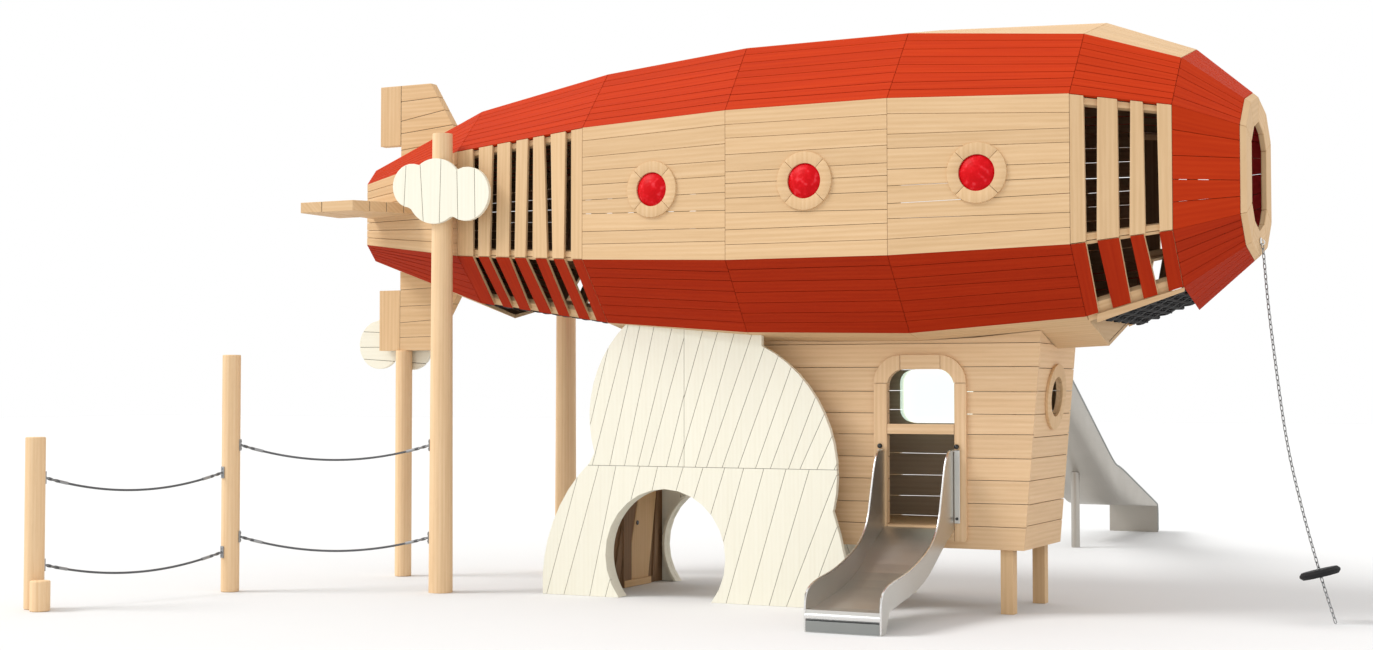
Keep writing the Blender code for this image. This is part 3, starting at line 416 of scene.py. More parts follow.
def makeRound(place, radius, depth=0.2, sides=64, edge=0):
    piece = newPiece(bpy.ops.mesh.primitive_cylinder_add, vertices=sides, radius=radius, depth=depth)
    if edge:
        easeEdges(piece, edge, 2)
    piece.data.transform(place)
    return piece


def cutAway(piece, cutter):
    useModifier(piece, "BOOLEAN", operation="DIFFERENCE", solver="EXACT", object=cutter)
    toss(cutter)


def clearMaps(piece):
    while piece.data.uv_layers:
        piece.data.uv_layers.remove(piece.data.uv_layers[0])


def grainMap(piece, along, across):
    # lays the piece's map in metres with its grain along a direction, and gives it a number of its own
    along = Vector(along).normalized()
    across = Vector(across)
    across = (across - along * across.dot(along)).normalized()
    through = along.cross(across)
    clearMaps(piece)
    mesh = piece.data
    for name in ("grain", "tone"):
        mesh.uv_layers.new(name=name)
    grain, tone = mesh.uv_layers["grain"], mesh.uv_layers["tone"]
    start, side, own = luck.uniform(0, 9), luck.uniform(0, 5), luck.random()
    for loop in mesh.loops:
        spot = mesh.vertices[loop.vertex_index].co
        grain.data[loop.index].uv = (start + spot.dot(along), side + spot.dot(across) + spot.dot(through))
        tone.data[loop.index].uv = (own, own)


def dress(piece, finish, replaced=(), name=None):
    if name:
        piece.name = name
        piece.data.name = name
    if not piece.data.materials:
        piece.data.materials.append(finish)
    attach(piece, "root")
    if replaced:
        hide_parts(*replaced)


def joinAs(name, pieces, finish, replaced=(), edge=0.0016):
    for piece in pieces:
        if not piece.data.materials:
            piece.data.materials.append(finish)
    pickUp(*pieces)
    if len(pieces) > 1:
        bpy.ops.object.join()
    piece = pieces[0]
    editAll(piece, outwards)
    if edge:
        easeEdges(piece, edge)
    dress(piece, finish, replaced, name)
    return piece


def smoothOver(piece, angle=40):
    pickUp(piece)
    bpy.ops.object.shade_smooth_by_angle(angle=radians(angle))


boardPattern = patternOf(newPiece(bpy.ops.mesh.primitive_cube_add, size=1))
boardFaces = [face.index for face in boardPattern.polygons if abs(face.normal.z) > 0.5]


def layBoard(spot, finish=None, rawEdges=False, inside=None):
    # spot gives a place for shares along, across and through the board
    board = ownCopy(boardPattern, "board")
    if finish:
        board.data.materials.append(finish)
    if rawEdges:  # stained on its faces only
        board.data.materials.append(paleWood)
        for face in board.data.polygons:
            face.material_index = 0 if face.index in boardFaces else 1
    # the inner face takes its own finish: painted shade, and inside the nose painted light
    if inside:
        board.data.materials.append(inside)
        for face in board.data.polygons:
            if face.normal.z > 0.5:
                face.material_index = len(board.data.materials) - 1
    ends = [spot(s, 0.5, 0) for s in (0, 1)]
    sides = [spot(0.5, f, 0) for f in (0, 1)]
    for vertex in board.data.vertices:
        s, f, d = (0.5 + part for part in vertex.co)
        vertex.co = spot(round(s), round(f), round(d))
    grainMap(board, ends[1] - ends[0], sides[1] - sides[0])
    return board


# cords first: the ropes of the rope course, and the mooring chain

ropeCourse = {
    "radius": 0.009, "endSpace": 0.0028, "steps": 30, "sides": 12,
    "posts": {"outer": (-0.986, -3.365), "inner": (-0.497, -1.723), "tail": (1.073, -1.008)},
    "postRadius": 0.074, "tailPostFoot": 0.098, "tailPostTop": 0.082, "tailPostHeight": 3.733,
    # rope: the posts that it runs between, and its height at the first, at the second and in the middle
    "ropes": {"rope_outer_top": ("outer", "inner", 0.98, 0.97, 0.857),
              "rope_outer_low": ("outer", "inner", 0.325, 0.325, 0.216),
              "rope_inner_top": ("inner", "tail", 1.192, 1.191, 1.07),
              "rope_inner_low": ("inner", "tail", 0.446, 0.442, 0.331)},
}
mooring = {
    "route": [(7.3996, 2.683), (7.412, 2.62), (7.453, 2.138), (7.548, 1.355), (7.645, 0.862),
              (7.775, 0.353), (7.878, 0.006)],
    "steps": 9, "radius": 0.0135, "wire": 0.0037, "pitch": 0.036, "linkSteps": 12, "wireSides": 6,
    "endSpace": 0.003,
}


def sweepTube(name, route, radius, sides):
    # a round tube that follows the route, with its map along it and round it
    curve = bpy.data.curves.new(name, "CURVE")
    curve.dimensions = "3D"
    curve.bevel_depth = radius
    curve.bevel_resolution = sides // 4
    curve.use_fill_caps = True
    spline = curve.splines.new("POLY")
    spline.points.add(len(route) - 1)
    for point, spot in zip(spline.points, route):
        point.co = (*spot, 1)
    pickUp(putInScene(name, curve))
    bpy.ops.object.convert(target="MESH")
    tube = bpy.context.active_object
    editAll(tube, (bpy.ops.mesh.remove_doubles, {"threshold": 0.00005}), outwards)
    mapRound(tube, [Vector(spot) for spot in route])
    smoothOver(tube, 50)
    return tube


def mapRound(tube, route):
    # map: metres along the route, and the share of a turn round it
    clearMaps(tube)
    mesh = tube.data
    grain = mesh.uv_layers.new(name="grain")
    lengths = [0.0]
    for start, end in zip(route, route[1:]):
        lengths.append(lengths[-1] + (end - start).length)
    places = []
    for vertex in mesh.vertices:
        nearest = min(range(len(route)), key=lambda i: (route[i] - vertex.co).length_squared)
        ahead = (route[min(nearest + 1, len(route) - 1)] - route[max(nearest - 1, 0)]).normalized()
        side = ahead.cross(Vector(upZ if abs(ahead.z) < 0.9 else overY)).normalized()
        off = vertex.co - route[nearest]
        turn = atan2(off.dot(side.cross(ahead)), off.dot(side)) / (2 * pi)
        places.append((lengths[nearest] + off.dot(ahead), turn))
    for face in mesh.polygons:
        turns = [places[mesh.loops[i].vertex_index][1] for i in face.loop_indices]
        for i in face.loop_indices:
            along, turn = places[mesh.loops[i].vertex_index]
            grain.data[i].uv = (along, turn + 1 if max(turns) - turn > 0.5 else turn)


def lengthOf(route):
    return sum((Vector(b) - Vector(a)).length for a, b in zip(route, route[1:]))


def postRadius(post, height):
    foot, top = ropeCourse["tailPostFoot"], ropeCourse["tailPostTop"]
    if post != "tail":
        return ropeCourse["postRadius"]
    return foot - (foot - top) * height / ropeCourse["tailPostHeight"]


def hangRope(name, startPost, endPost, first, last, middle):
    start, end = (Vector(ropeCourse["posts"][post]) for post in (startPost, endPost))
    heading = (end - start).normalized()
    start = start + heading * (postRadius(startPost, first) + ropeCourse["endSpace"])
    end = end - heading * (postRadius(endPost, last) + ropeCourse["endSpace"])
    sag = (first + last) / 2 - middle
    route = []
    for i in range(ropeCourse["steps"] + 1):
        t = i / ropeCourse["steps"]
        x, y = start.lerp(end, t)
        route.append((x, y, first + (last - first) * t - 4 * sag * t * (1 - t)))
    rope = sweepTube(name + "_laid", route, ropeCourse["radius"], ropeCourse["sides"])
    dress(rope, ropeGrey, [name])
    lengthOf(route)
    return route


def smoothRoute(points, steps):
    points = [Vector(p) for p in points]
    ends = [2 * points[0] - points[1]] + points + [2 * points[-1] - points[-2]]
    route = []
    for before, start, end, after in zip(ends, ends[1:], ends[2:], ends[3:]):
        for i in range(steps):
            t = i / steps
            square, cube = 2 * before - 5 * start + 4 * end - after, 3 * start - before - 3 * end + after
            route.append(0.5 * (2 * start + (end - before) * t + square * t ** 2 + cube * t ** 3))
    return route + [points[-1]]


def makeLink(half, wire, pitch):
    link = newPiece(bpy.ops.mesh.primitive_torus_add, major_radius=half - wire, minor_radius=wire,
                    major_segments=mooring["linkSteps"], minor_segments=mooring["wireSides"])
    reach = pitch / 2 + wire - (half - wire)
    for vertex in link.data.vertices:  # pulled out lengthwise, as a long chain link is
        if abs(vertex.co.x) > 0.0005:
            vertex.co.x += reach * (1 if vertex.co.x > 0 else -1)
    return patternOf(link)


def linkTurn(ahead, roll):
    return ahead.to_track_quat("X", "Z").to_matrix() @ Matrix.Rotation(roll, 3, "X")


def hangChain():
    route = smoothRoute([(x, 0.0, z) for x, z in mooring["route"]], mooring["steps"])
    pattern = makeLink(mooring["radius"], mooring["wire"], mooring["pitch"])
    total = lengthOf(route)
    space = mooring["endSpace"]
    count = int((total - 2 * space) / mooring["pitch"])
    pitch = (total - 2 * space) / count
    links = []
    reached, step = 0.0, 0
    for i in range(count):
        wanted = space + pitch * (i + 0.5)
        while reached + (route[step + 1] - route[step]).length < wanted and step < len(route) - 2:
            reached += (route[step + 1] - route[step]).length
            step += 1
        ahead = (route[step + 1] - route[step]).normalized()
        spot = route[step] + ahead * (wanted - reached)
        link = ownCopy(pattern, "link")
        turn = linkTurn(ahead, pi / 4 + (i % 2) * pi / 2)
        for vertex in link.data.vertices:
            vertex.co = turn @ vertex.co + spot
        links.append(link)
    pickUp(*links)
    bpy.ops.object.join()
    chain = links[0]
    smoothOver(chain, 60)
    dress(chain, chainSteel, ["mooring_chain"], "mooring_chain_links")
    tuple(route[0])
    [tuple(p) for p in route]


ropeRoutes = {name: hangRope(name, *rope) for name, rope in ropeCourse["ropes"].items()}
hangChain()
print("ropes and chain hung")

# hull: ten sides between the stations, planked

hull = {
    "axis": 3.168, "wall": 0.03,
    "stations": [  # x, side half width, side half height, corner half width, corner height, ridge height
        (-0.105, 0.418, 0.265, 0.293, 0.398, 0.45), (1.155, 0.907, 0.431, 0.54, 0.806, 0.912),
        (2.46, 1.138, 0.515, 0.725, 0.995, 1.124), (3.72, 1.2, 0.561, 0.81, 1.091, 1.232),
        (5.0, 1.188, 0.566, 0.728, 1.113, 1.258), (6.3, 1.079, 0.524, 0.663, 1.011, 1.202),
        (6.955, 0.857, 0.434, 0.527, 0.81, 0.952), (7.39, 0.494, 0.299, 0.311, 0.491, 0.572)],
    "seam": 0.0036, "bayJoint": 0.003, "drift": 0.14,
    "noseRingDepth": 0.04, "noseHole": (0.295, 0.215, 0.195, 0.33, 0.395),
}
slats = {
    # each slot: where it starts and ends at its lower end, then where it does at its upper end
    "rear": [(1.324, 1.38, 1.318, 1.385), (1.502, 1.574, 1.531, 1.584), (1.71, 1.769, 1.72, 1.785),
             (1.883, 1.957, 1.905, 1.96), (2.107, 2.161, 2.071, 2.14), (2.276, 2.348, 2.291, 2.348)],
    "rearLow": [(1.3, 1.39, 1.32, 1.382), (1.492, 1.565, 1.494, 1.566), (1.681, 1.77, 1.712, 1.768),
                (1.899, 1.969, 1.887, 1.985), (2.084, 2.177, 2.097, 2.17), (2.288, 2.353, 2.279, 2.361)],
    "front": [(6.4, 6.47, 6.39, 6.48), (6.612, 6.68, 6.606, 6.692), (6.78, 6.872, 6.77, 6.86)],
    "frontLow": [(6.384, 6.482, 6.398, 6.474), (6.604, 6.69, 6.612, 6.684), (6.784, 6.858, 6.77, 6.87)],
    "frontFar": [(6.455, 6.5, 6.45, 6.505), (6.609, 6.687, 6.615, 6.68), (6.776, 6.865, 6.77, 6.86)],
    # a slat starts at a share of the side's height and reaches over a share of it
    "span": (0.004, 0.992),
    # rails: shares of the side's height for their lower and upper edges, at the tail end and at the nose end
    "rails": [((0.004, 0.004), (0.05, 0.05)), ((0.95, 0.95), (0.996, 0.996))],
    "rearLowRails": [((-0.055, -0.055), (0.08, 0.08)), ((0.95, 0.95), (0.996, 0.996))],
    "frontLowRails": [((-0.13, -0.05), (0.11, 0.13)), ((0.95, 0.95), (0.996, 0.996))],
    "railDepth": 0.045, "railGap": 0.001, "railEnd": 0.002,
}
hullSides = {
    # piece: its CAD node, the corners that start its sides, its first and last station, boards across, finish
    "near_tail_boards": ("side_near_tail", [7], (0, 2), 8, paleWood),
    "near_rear_boards": ("side_near_rear", [7], (2, 3), 9, paleWood),
    "near_mid_boards": ("side_near_mid", [7], (3, 4), 10, paleWood),
    "near_fore_boards": ("side_near_fore", [7], (4, 5), 9, paleWood),
    "near_front_slats": ("side_near_front", [7], (5, 6), 1, paleWood),
    "far_tail_boards": ("side_far_tail", [2], (0, 2), 8, paleWood),
    "far_mid_boards": ("side_far_mid", [2], (2, 5), 9, paleWood),
    "far_front_slats": ("side_far_front", [2], (5, 6), 1, paleWood),
    "upper_near_boards": ("upper_near", [8], (0, 6), 8, redWood),
    "upper_far_boards": ("upper_far", [1], (0, 6), 8, redWood),
    "roof_boards": ("roof", [9, 10], (0, 6), 5, paleWood),
    "lower_near_boards": ("lower_near", [6], (0, 6), 7, shadedLowRedWood),
    "lower_far_boards": ("lower_far", [3], (0, 6), 7, shadedLowRedWood),
    "keel_tail_boards": ("keel_tail", [4, 5], (0, 1), 4, paleWood),
    "keel_boards": ("keel_mid", [4, 5], (2, 5), 5, paleWood),
    "nose_boards": ("nose_shell", list(range(10)), (6, 7), 5, redWood),
}
wideSeams = {"far_tail_boards": 0.0038, "far_mid_boards": 0.0055, "lower_far_boards": 0.0055}
lowSides = (3, 6)
slattedSides, slattedBays = (2, 3, 6, 7), (1, 5)  # the second bay and the last before the nose are open slats
portholes = {  # where each stands along the hull, and on which side
    "near_rear": (3.09, -1), "near_mid": (4.36, -1), "near_fore": (5.65, -1), "far_rear": (3.09, 1),
    "far_fore": (5.65, 1)}
ringMaking = {"hole": 0.13, "outer": 0.215, "proud": 0.016, "back": 0.024, "joint": 0.003, "boardsStop": 0.207,
              "steps": 9, "edge": 0.003}
hatchCuts = {"spans": [(2.8, 3.35), (4.05, 4.6)], "halfWidth": 0.27, "z": (1.5, 2.5)}
slideMouth = ((4.233, 0.9, 2.7), (4.773, 1.5, 3.66))


def bayAt(x):
    rows = hull["stations"]
    return next((a, b) for a, b in zip(rows, rows[1:]) if x <= b[0] or b is rows[-1])


def stationX(number):
    return hull["stations"][number][0]


def sizesAt(x):
    before, after = bayAt(x)
    share = (x - before[0]) / (after[0] - before[0])
    return [a + (b - a) * share for a, b in zip(before, after)]


def section(sizes, inset):
    sideY, sideZ, cornerY, cornerZ, ridgeZ = sizes
    right = [(0, ridgeZ), (cornerY, cornerZ), (sideY, sideZ), (sideY, -sideZ), (cornerY, -cornerZ)]
    corners = [Vector(p) for p in right + [(-y, -z) for y, z in right]]
    moved = []
    for i, corner in enumerate(corners):
        back = (corner - corners[i - 1]).normalized()
        ahead = (corners[(i + 1) % 10] - corner).normalized()
        inward = Vector((-back.y, back.x)) + Vector((-ahead.y, ahead.x))
        moved.append(corner - inward * inset / (1 + back.dot(ahead)))
    return moved


def hullPoint(x, corner, inset):
    y, z = section(sizesAt(x)[1:], inset)[corner % 10]
    return Vector((x, y, hull["axis"] + z))


def onFacet(corner, x, share, depth):
    # a place on the side between a corner and the next, by its share across and its depth in metres
    return hullPoint(x, corner, depth).lerp(hullPoint(x, corner + 1, depth), share)


def facetFrame(x, side):
    # on a side panel: its middle at x, with Z pointing out of the hull
    before, after = bayAt(x)
    turn = atan2(after[1] - before[1], after[0] - before[0])
    outward = Vector((-sin(turn), side * cos(turn), 0))
    spot = Vector((x, side * sizesAt(x)[1], hull["axis"]))
    return Matrix.Translation(spot) @ outward.to_track_quat("Z", "Y").to_matrix().to_4x4()


def between(ends, share):
    return ends[0] + (ends[1] - ends[0]) * share


def courseBoards(corner, start, end, count, finish, inside, seam):
    widths = [(onFacet(corner, x, 1, 0) - onFacet(corner, x, 0, 0)).length for x in (start, end)]
    drift = hull["drift"]
    seams = [[0.0, *((i + luck.uniform(-drift, drift)) / count for i in range(1, count)), 1.0] for _ in (0, 1)]
    joint = hull["bayJoint"] / 2
    boards = []
    for i in range(count):
        lows, highs = [], []
        for rung, width in zip(seams, widths):
            gap = seam / 2 / width
            lows.append(rung[i] + (gap if i else gap / 3))
            highs.append(rung[i + 1] - (gap if i < count - 1 else gap / 3))

        def spot(s, f, d, lows=lows, highs=highs):
            low, high = between(lows, s), between(highs, s)
            x = start + joint + (end - start - 2 * joint) * s
            return onFacet(corner, x, low + (high - low) * f, d * hull["wall"])
        boards.append(layBoard(spot, finish, inside=inside))
    return boards


def slatBoards(corner, start, end, slots, rails, finish):
    joint = hull["bayJoint"] / 2
    edges = [(start + joint, start + joint)]
    for slot in slots:
        edges += [slot[::2], slot[1::2]]
    edges.append((end - joint, end - joint))
    first, reach = slats["span"]
    boards = []
    for left, right in zip(edges[::2], edges[1::2]):
        def slat(s, f, d, left=left, right=right):
            rise = s if corner > 4 else 1 - s  # the far sides' corners run downwards
            x = between((between(left, rise), between(right, rise)), f)
            return onFacet(corner, x, first + reach * s, d * hull["wall"])
        boards.append(layBoard(slat, finish, finish is not paleWood, shadedInnerWood))
    space = slats["railEnd"]
    for lows, highs in rails:
        def rail(s, f, d, lows=lows, highs=highs):
            low, high = between(lows, s), between(highs, s)
            if corner < 5:
                low, high = 1 - high, 1 - low
            depth = hull["wall"] + slats["railGap"] + d * slats["railDepth"]
            x = start + space + (end - start - 2 * space) * s
            return onFacet(corner, x, low + (high - low) * f, depth)
        boards.append(layBoard(rail, paleWood))
    return boards


def sideBoards(name, corner, bay):
    # the boards, or the slats with their rails, of one side between two stations
    node, _, _, count, finish = hullSides[name]
    nose = node == "nose_shell"
    start, end = stationX(bay), stationX(bay + 1) - (hull["noseRingDepth"] if nose else 0)
    if corner in slattedSides and bay in slattedBays:
        place = "rear" if bay == 1 else "front"
        low = corner in lowSides
        slots = slats["frontFar" if bay == 5 and corner == 2 else place + ("Low" if low else "")]
        return slatBoards(corner, start, end, slots, slats[place + "LowRails" if low else "rails"], finish)
    # the nose's lower facets take the darker red as painted shade
    facetFinish = shadedLowRedWood if nose and corner in (3, 4, 5, 6) else finish
    return courseBoards(corner, start, end, count, facetFinish, litNoseInside if nose else shadedInnerWood,
                        wideSeams.get(name, hull["seam"]))


def plankHull():
    for name, (node, corners, (first, last), _, finish) in hullSides.items():
        boards = []
        for bay in range(first, last):
            for corner in corners:
                boards += sideBoards(name, corner, bay)
        piece = joinAs(name, boards, finish, [node], edge=0)
        start, end = stationX(first), stationX(last)
        for x, side in portholes.values():
            if corners == [7 if side < 0 else 2] and start < x < end:
                cutAway(piece, makeRound(facetFrame(x, side), ringMaking["boardsStop"]))
        if node == "side_far_mid":
            cutAway(piece, makeBlock(*slideMouth))
        if node == "keel_mid":
            wide, (low, high) = hatchCuts["halfWidth"], hatchCuts["z"]
            for start, end in hatchCuts["spans"]:
                cutAway(piece, makeBlock((start, -wide, low), (end, wide, high)))
        easeEdges(piece)


plankHull()

keelEnd = {"gap": 0.004, "thickness": 0.022, "inset": 0.001, "edge": 0.0015}


def closeKeel():
    # a three-cornered board closes the keel's hollow towards the nose
    end = stationX(5) - keelEnd["gap"]
    board = newPiece(bpy.ops.mesh.primitive_cylinder_add, vertices=3, radius=1, depth=1)
    corners = [hullPoint(end, corner, hull["wall"] + keelEnd["inset"]) for corner in (4, 5, 6)]
    for vertex in board.data.vertices:
        # the cylinder's three corners stand a quarter turn and a third of a turn on from there
        corner = round((atan2(vertex.co.y, vertex.co.x) / (2 * pi)) * 3 + 0.25) % 3
        vertex.co = corners[corner] - Vector((keelEnd["thickness"] if vertex.co.z < 0 else 0, 0, 0))
    grainMap(board, overY, upZ)
    joinAs("keel_end_board", [board], paleWood, edge=keelEnd["edge"])


closeKeel()
print("hull planked")


def makeRingQuarter():
    # the section is a small plane beside the ring's middle, spun through a quarter turn less the joint
    inner, outer = ringMaking["hole"], ringMaking["outer"]
    middle = ((inner + outer) / 2, 0, (ringMaking["proud"] - ringMaking["back"]) / 2)
    quarter = newPiece(bpy.ops.mesh.primitive_plane_add, size=1, location=middle, rotation=(pi / 2, 0, 0))
    settle(quarter, (outer - inner, ringMaking["proud"] + ringMaking["back"], 1))
    joint = ringMaking["joint"] / outer
    editAll(quarter, (bpy.ops.mesh.spin, {"steps": ringMaking["steps"], "angle": pi / 2 - joint,
                                          "center": (0, 0, 0), "axis": upZ}))
    easeEdges(quarter, ringMaking["edge"], 2)
    return patternOf(quarter)


ringQuarter = makeRingQuarter()


def ringOfWood(name, place, replaced=(), scale=(1, 1, 1)):
    quarters = []
    for i in range(4):
        quarter = ownCopy(ringQuarter, "quarter")
        quarter.data.transform(Matrix.Diagonal((*scale, 1)))
        turn = Matrix.Rotation(pi / 4 + i * pi / 2, 4, "Z")
        quarter.data.transform(turn)
        chord = turn @ Matrix.Rotation(pi / 4, 4, "Z")
        grainMap(quarter, chord @ Vector(overY), chord @ Vector(alongX))
        quarter.data.transform(place)
        quarters.append(quarter)
    smoothOver(joinAs(name, quarters, paleWood, replaced, edge=0), 30)


for name, (x, side) in portholes.items():
    ringOfWood("porthole_ring_" + name, facetFrame(x, side))

noseRing = {"joint": 0.002, "lip": 0.004, "draw": 0.0004}


def makeNoseRing():
    # ten mitred pieces between the nose's end and its hole
    front = stationX(-1)
    back = front - hull["noseRingDepth"]
    hole = section(hull["noseHole"], 0.0)
    pieces = []
    for corner in range(10):
        def spot(s, f, d, corner=corner):
            x = front + (back - front) * d
            outer = onFacet(corner, x - noseRing["draw"] * (1 - d), s, 0)
            inner = hole[corner].lerp(hole[(corner + 1) % 10], s)
            middle = Vector((x, inner.x, hull["axis"] + inner.y)).lerp(outer, f)
            along = (onFacet(corner, x, 1, 0) - onFacet(corner, x, 0, 0)).normalized()
            return middle + along * noseRing["joint"] / 2 * (1 - 2 * s)
        pieces.append(layBoard(spot))
    joinAs("nose_ring_wood", pieces, paleWood, ["nose_ring"], edge=noseRing["lip"])


makeNoseRing()
print("rings fitted")

# sawn planks: a CAD solid's own shape, cut along seams


def plainCopy(node):
    # the node's shape with its loose triangles merged
    piece = ownCopy(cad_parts[node].data, node + "_blank")
    editAll(piece, (bpy.ops.mesh.remove_doubles, {"threshold": 0.00002}),
            (bpy.ops.mesh.dissolve_limited, {"angle_limit": radians(0.6)}))
    piece.data.materials.clear()
    return piece


def below(axis, place, gap):
    # a cut that keeps what lies before a place on an axis, less a gap
    return [part * (place - gap) for part in axis], axis


def above(axis, place, gap):
    # a cut that keeps what lies beyond a place on an axis, less a gap
    return [part * (place + gap) for part in axis], [-part for part in axis]


def sawn(blank, cuts):
    # what is left of a copy behind every cut; a cut is a place and a direction
    piece = ownCopy(blank.data, "plank")
    editAll(piece, *((bpy.ops.mesh.bisect, {"plane_co": spot, "plane_no": outward, "use_fill": True,
                                            "clear_outer": True}) for spot, outward in cuts))
    if piece.data.polygons:
        return piece
    toss(piece)
    return None


def seamCuts(panel, seam, stray=0.07):
    # each plank's two cuts, from the panel's start to its end
    across, along = Vector(panel["across"]), Vector(panel["along"])
    start, end, count = panel["start"], panel["end"], panel["count"]
    middle = along * panel["middle"]
    wobble = panel["wobble"]
    cuts = []
    for i in range(count + 1):
        lean = panel["lean"] + panel.get("fan", 0) * i / count + luck.uniform(-wobble, wobble)
        spot = across * (start + (end - start) * (i + luck.uniform(-stray, stray)) / count) + middle
        if i in (0, count):
            lean, spot = 0, across * (start if i == 0 else end) + middle
        cuts.append((spot, (across + along * tan(radians(lean))).normalized()))
    return [[(lowSpot + lowWay * seam / 2, -lowWay), (highSpot - highWay * seam / 2, highWay)]
            for (lowSpot, lowWay), (highSpot, highWay) in zip(cuts, cuts[1:])]


def darkCore(node, inset=0.006):
    # a shrunken near-black copy inside the planks, so that their grooves are dark and not open: painted shade
    core = plainCopy(node)
    grainMap(core, alongX, upZ)
    editAll(core, outwards, (bpy.ops.transform.shrink_fatten, {"value": -inset}))
    joinAs(node + "_core", [core], shadePaintedCoreWood, edge=0)


def plankNode(name, node, panels, finish, seam=0.0034, edge=0.0018, inward=None):
    blank = plainCopy(node)
    planks = []
    for panel in panels:
        for cuts in seamCuts(panel, seam):
            plank = sawn(blank, panel.get("limits", []) + cuts)
            if not plank:
                continue
            grainMap(plank, panel["along"], panel["across"])
            plank.data.materials.append(finish)
            # plank faces turned into the cabin take the darker finish: painted shade
            if inward:
                plank.data.materials.append(shadedCabinInside)
                for face in plank.data.polygons:
                    face.material_index = 1 if face.normal.dot(Vector(inward)) > 0.9 else 0
            planks.append(plank)
    toss(blank)
    return joinAs(name, planks, finish, [node], edge=edge)


def upright(middle, start, end, count, lean, fan, wobble, limits=()):
    # a panel of upright boards, side by side along X
    return dict(across=alongX, along=upZ, middle=middle, start=start, end=end, count=count, lean=lean, fan=fan,
                wobble=wobble, limits=list(limits))


half = 0.0017  # half of a joint between two panels
# joint: the height where the walls' lower and upper boards meet; split: the upright joint in the near wall
cloud = {"joint": 1.04, "split": 3.138, "seam": 0.0042}
low, high = below(upZ, cloud["joint"], half), above(upZ, cloud["joint"], half)
cloudPlanks = {
    "cloud_near_planks": ("cloud_near", [upright(3.25, 0.62, 1.62, 6, 1.5, -3, 4.5)]),
    "cloud_low_planks": ("cloud_low", [dict(across=upZ, along=alongX, middle=-0.15, start=1.76, end=2.42,
                                            count=5, lean=1.5, wobble=2.5)]),
    "cloud_wall_near_planks": ("cloud_wall_near", [
        upright(0.5, 1.5, 5.1, 20, -13, -9, 2.8, [low]),
        upright(1.6, 1.7, 3.4, 13, -11, -7, 2.0, [high, below(alongX, cloud["split"], half)]),
        upright(1.6, 2.86, 4.8, 14, -14, -13, 2.0, [high, above(alongX, cloud["split"], half)])]),
    "cloud_wall_far_planks": ("cloud_wall_far", [upright(0.5, 1.5, 5.1, 15, 12, 12, 2.0, [low]),
                                                 upright(1.6, 1.7, 4.8, 15, 9, 14, 2.0, [high])]),
}
for name, (node, panels) in cloudPlanks.items():
    plankNode(name, node, panels, creamWood, seam=cloud["seam"])
    darkCore(node)
print("clouds planked")

fins = {"rudderSeam": -0.016, "rudderEnd": -0.24, "boards": 7, "middle": 0.3, "edge": 0.004}
finPlanks = {
    # node: outwards from the hull, where the boards start and end that way, their lean and its wobble
    "fin_top": (upZ, 3.4, 4.35, -7.0, 5.0),
    "fin_bottom": ((0, 0, -1), -2.95, -1.98, 0.0, 5.0),
    "fin_near": ((0, -1, 0), 0.3, 1.18, 3.0, 3.0),
    "fin_far": (overY, 0.3, 1.18, 3.0, 3.0),
}
for node, (across, start, end, lean, wobble) in finPlanks.items():
    darkCore(node)
    fixed, rudder = (cut(alongX, fins["rudderSeam"], half) for cut in (above, below))
    plankNode(node + "_planks", node, [
        dict(across=across, along=alongX, middle=fins["middle"], start=start, end=end, count=fins["boards"],
             lean=lean, wobble=wobble, limits=[fixed]),
        dict(across=alongX, along=across, middle=fins["middle"], start=fins["rudderEnd"],
             end=fins["rudderSeam"], count=1, lean=0, wobble=0, limits=[rudder])], paleWood, edge=fins["edge"])
print("fins planked")

cabin = {"low": 0.467, "high": 2.31, "middle": 4.8, "count": 11, "seam": 0.0046, "wobble": 0.35}
for place, along, inward in (("near", alongX, overY), ("far", alongX, (0, -1, 0)),
                             ("front", overY, (-1, 0, 0)), ("rear", overY, alongX)):
    plankNode("cabin_planks_" + place, "cabin_wall_" + place, [
        dict(across=upZ, along=along, middle=cabin["middle"] if along is alongX else 0, start=cabin["low"],
             end=cabin["high"], count=cabin["count"], lean=0, wobble=cabin["wobble"])],
        cabinWood, cabin["seam"], inward=inward)
print("cabin planked")

# pieces that keep the CAD shape with eased edges, and what is fitted to the partition and the cabin


def easedNode(name, node, finish, along, across, width):
    piece = plainCopy(node)
    grainMap(piece, along, across)
    return joinAs(name, [piece], finish, [node], edge=width)


easing = {"post": 0.006, "postSmooth": 32, "base": 0.005, "partition": 0.003, "tailCap": 0.002}
for node in ("fin_post", "rope_post_inner", "rope_post_outer", "rope_stub", "tail_post_near", "tail_post_far"):
    smoothOver(easedNode(node + "_wood", node, postWood, upZ, alongX, easing["post"]), easing["postSmooth"])
easedNode("cabin_base_wood", "cabin_base", paleWood, upZ, alongX, easing["base"])
easedNode("partition_boards", "partition", shadedInnerWood, upZ, overY, easing["partition"])

partitionFrame = {
    "face": 2.2155, "foot": 0.058, "top": 0.926, "edge": 0.003,
    # battens: where their two sides stand at the foot, how far each leans over a metre, thickness, finish
    "boards": [((0.0, 0.4), (0.33, 0.21), 0.022, paleWood), ((-0.23, -0.13), (0.33, 0.33), 0.03, shadedInnerWood),
               ((0.47, 0.53), (0.1, 0.1), 0.03, shadedInnerWood)],
    "rail": ((2.2155, -0.06, 0.002), (2.262, 0.41, 0.058)),
    "bolt": (2.2375, 0.2, 0.525), "boltRadius": 0.019, "boltDepth": 0.016}
crawlHoles = {"near": dict(x=2.966, z=0.337, radius=0.527, y=(-0.6745, -0.58)),
              "far": dict(x=2.78, z=0.32, radius=0.5, y=(0.615, 0.6745))}
holeLining = {"thickness": 0.022, "floor": 0.002, "spare": 0.1}


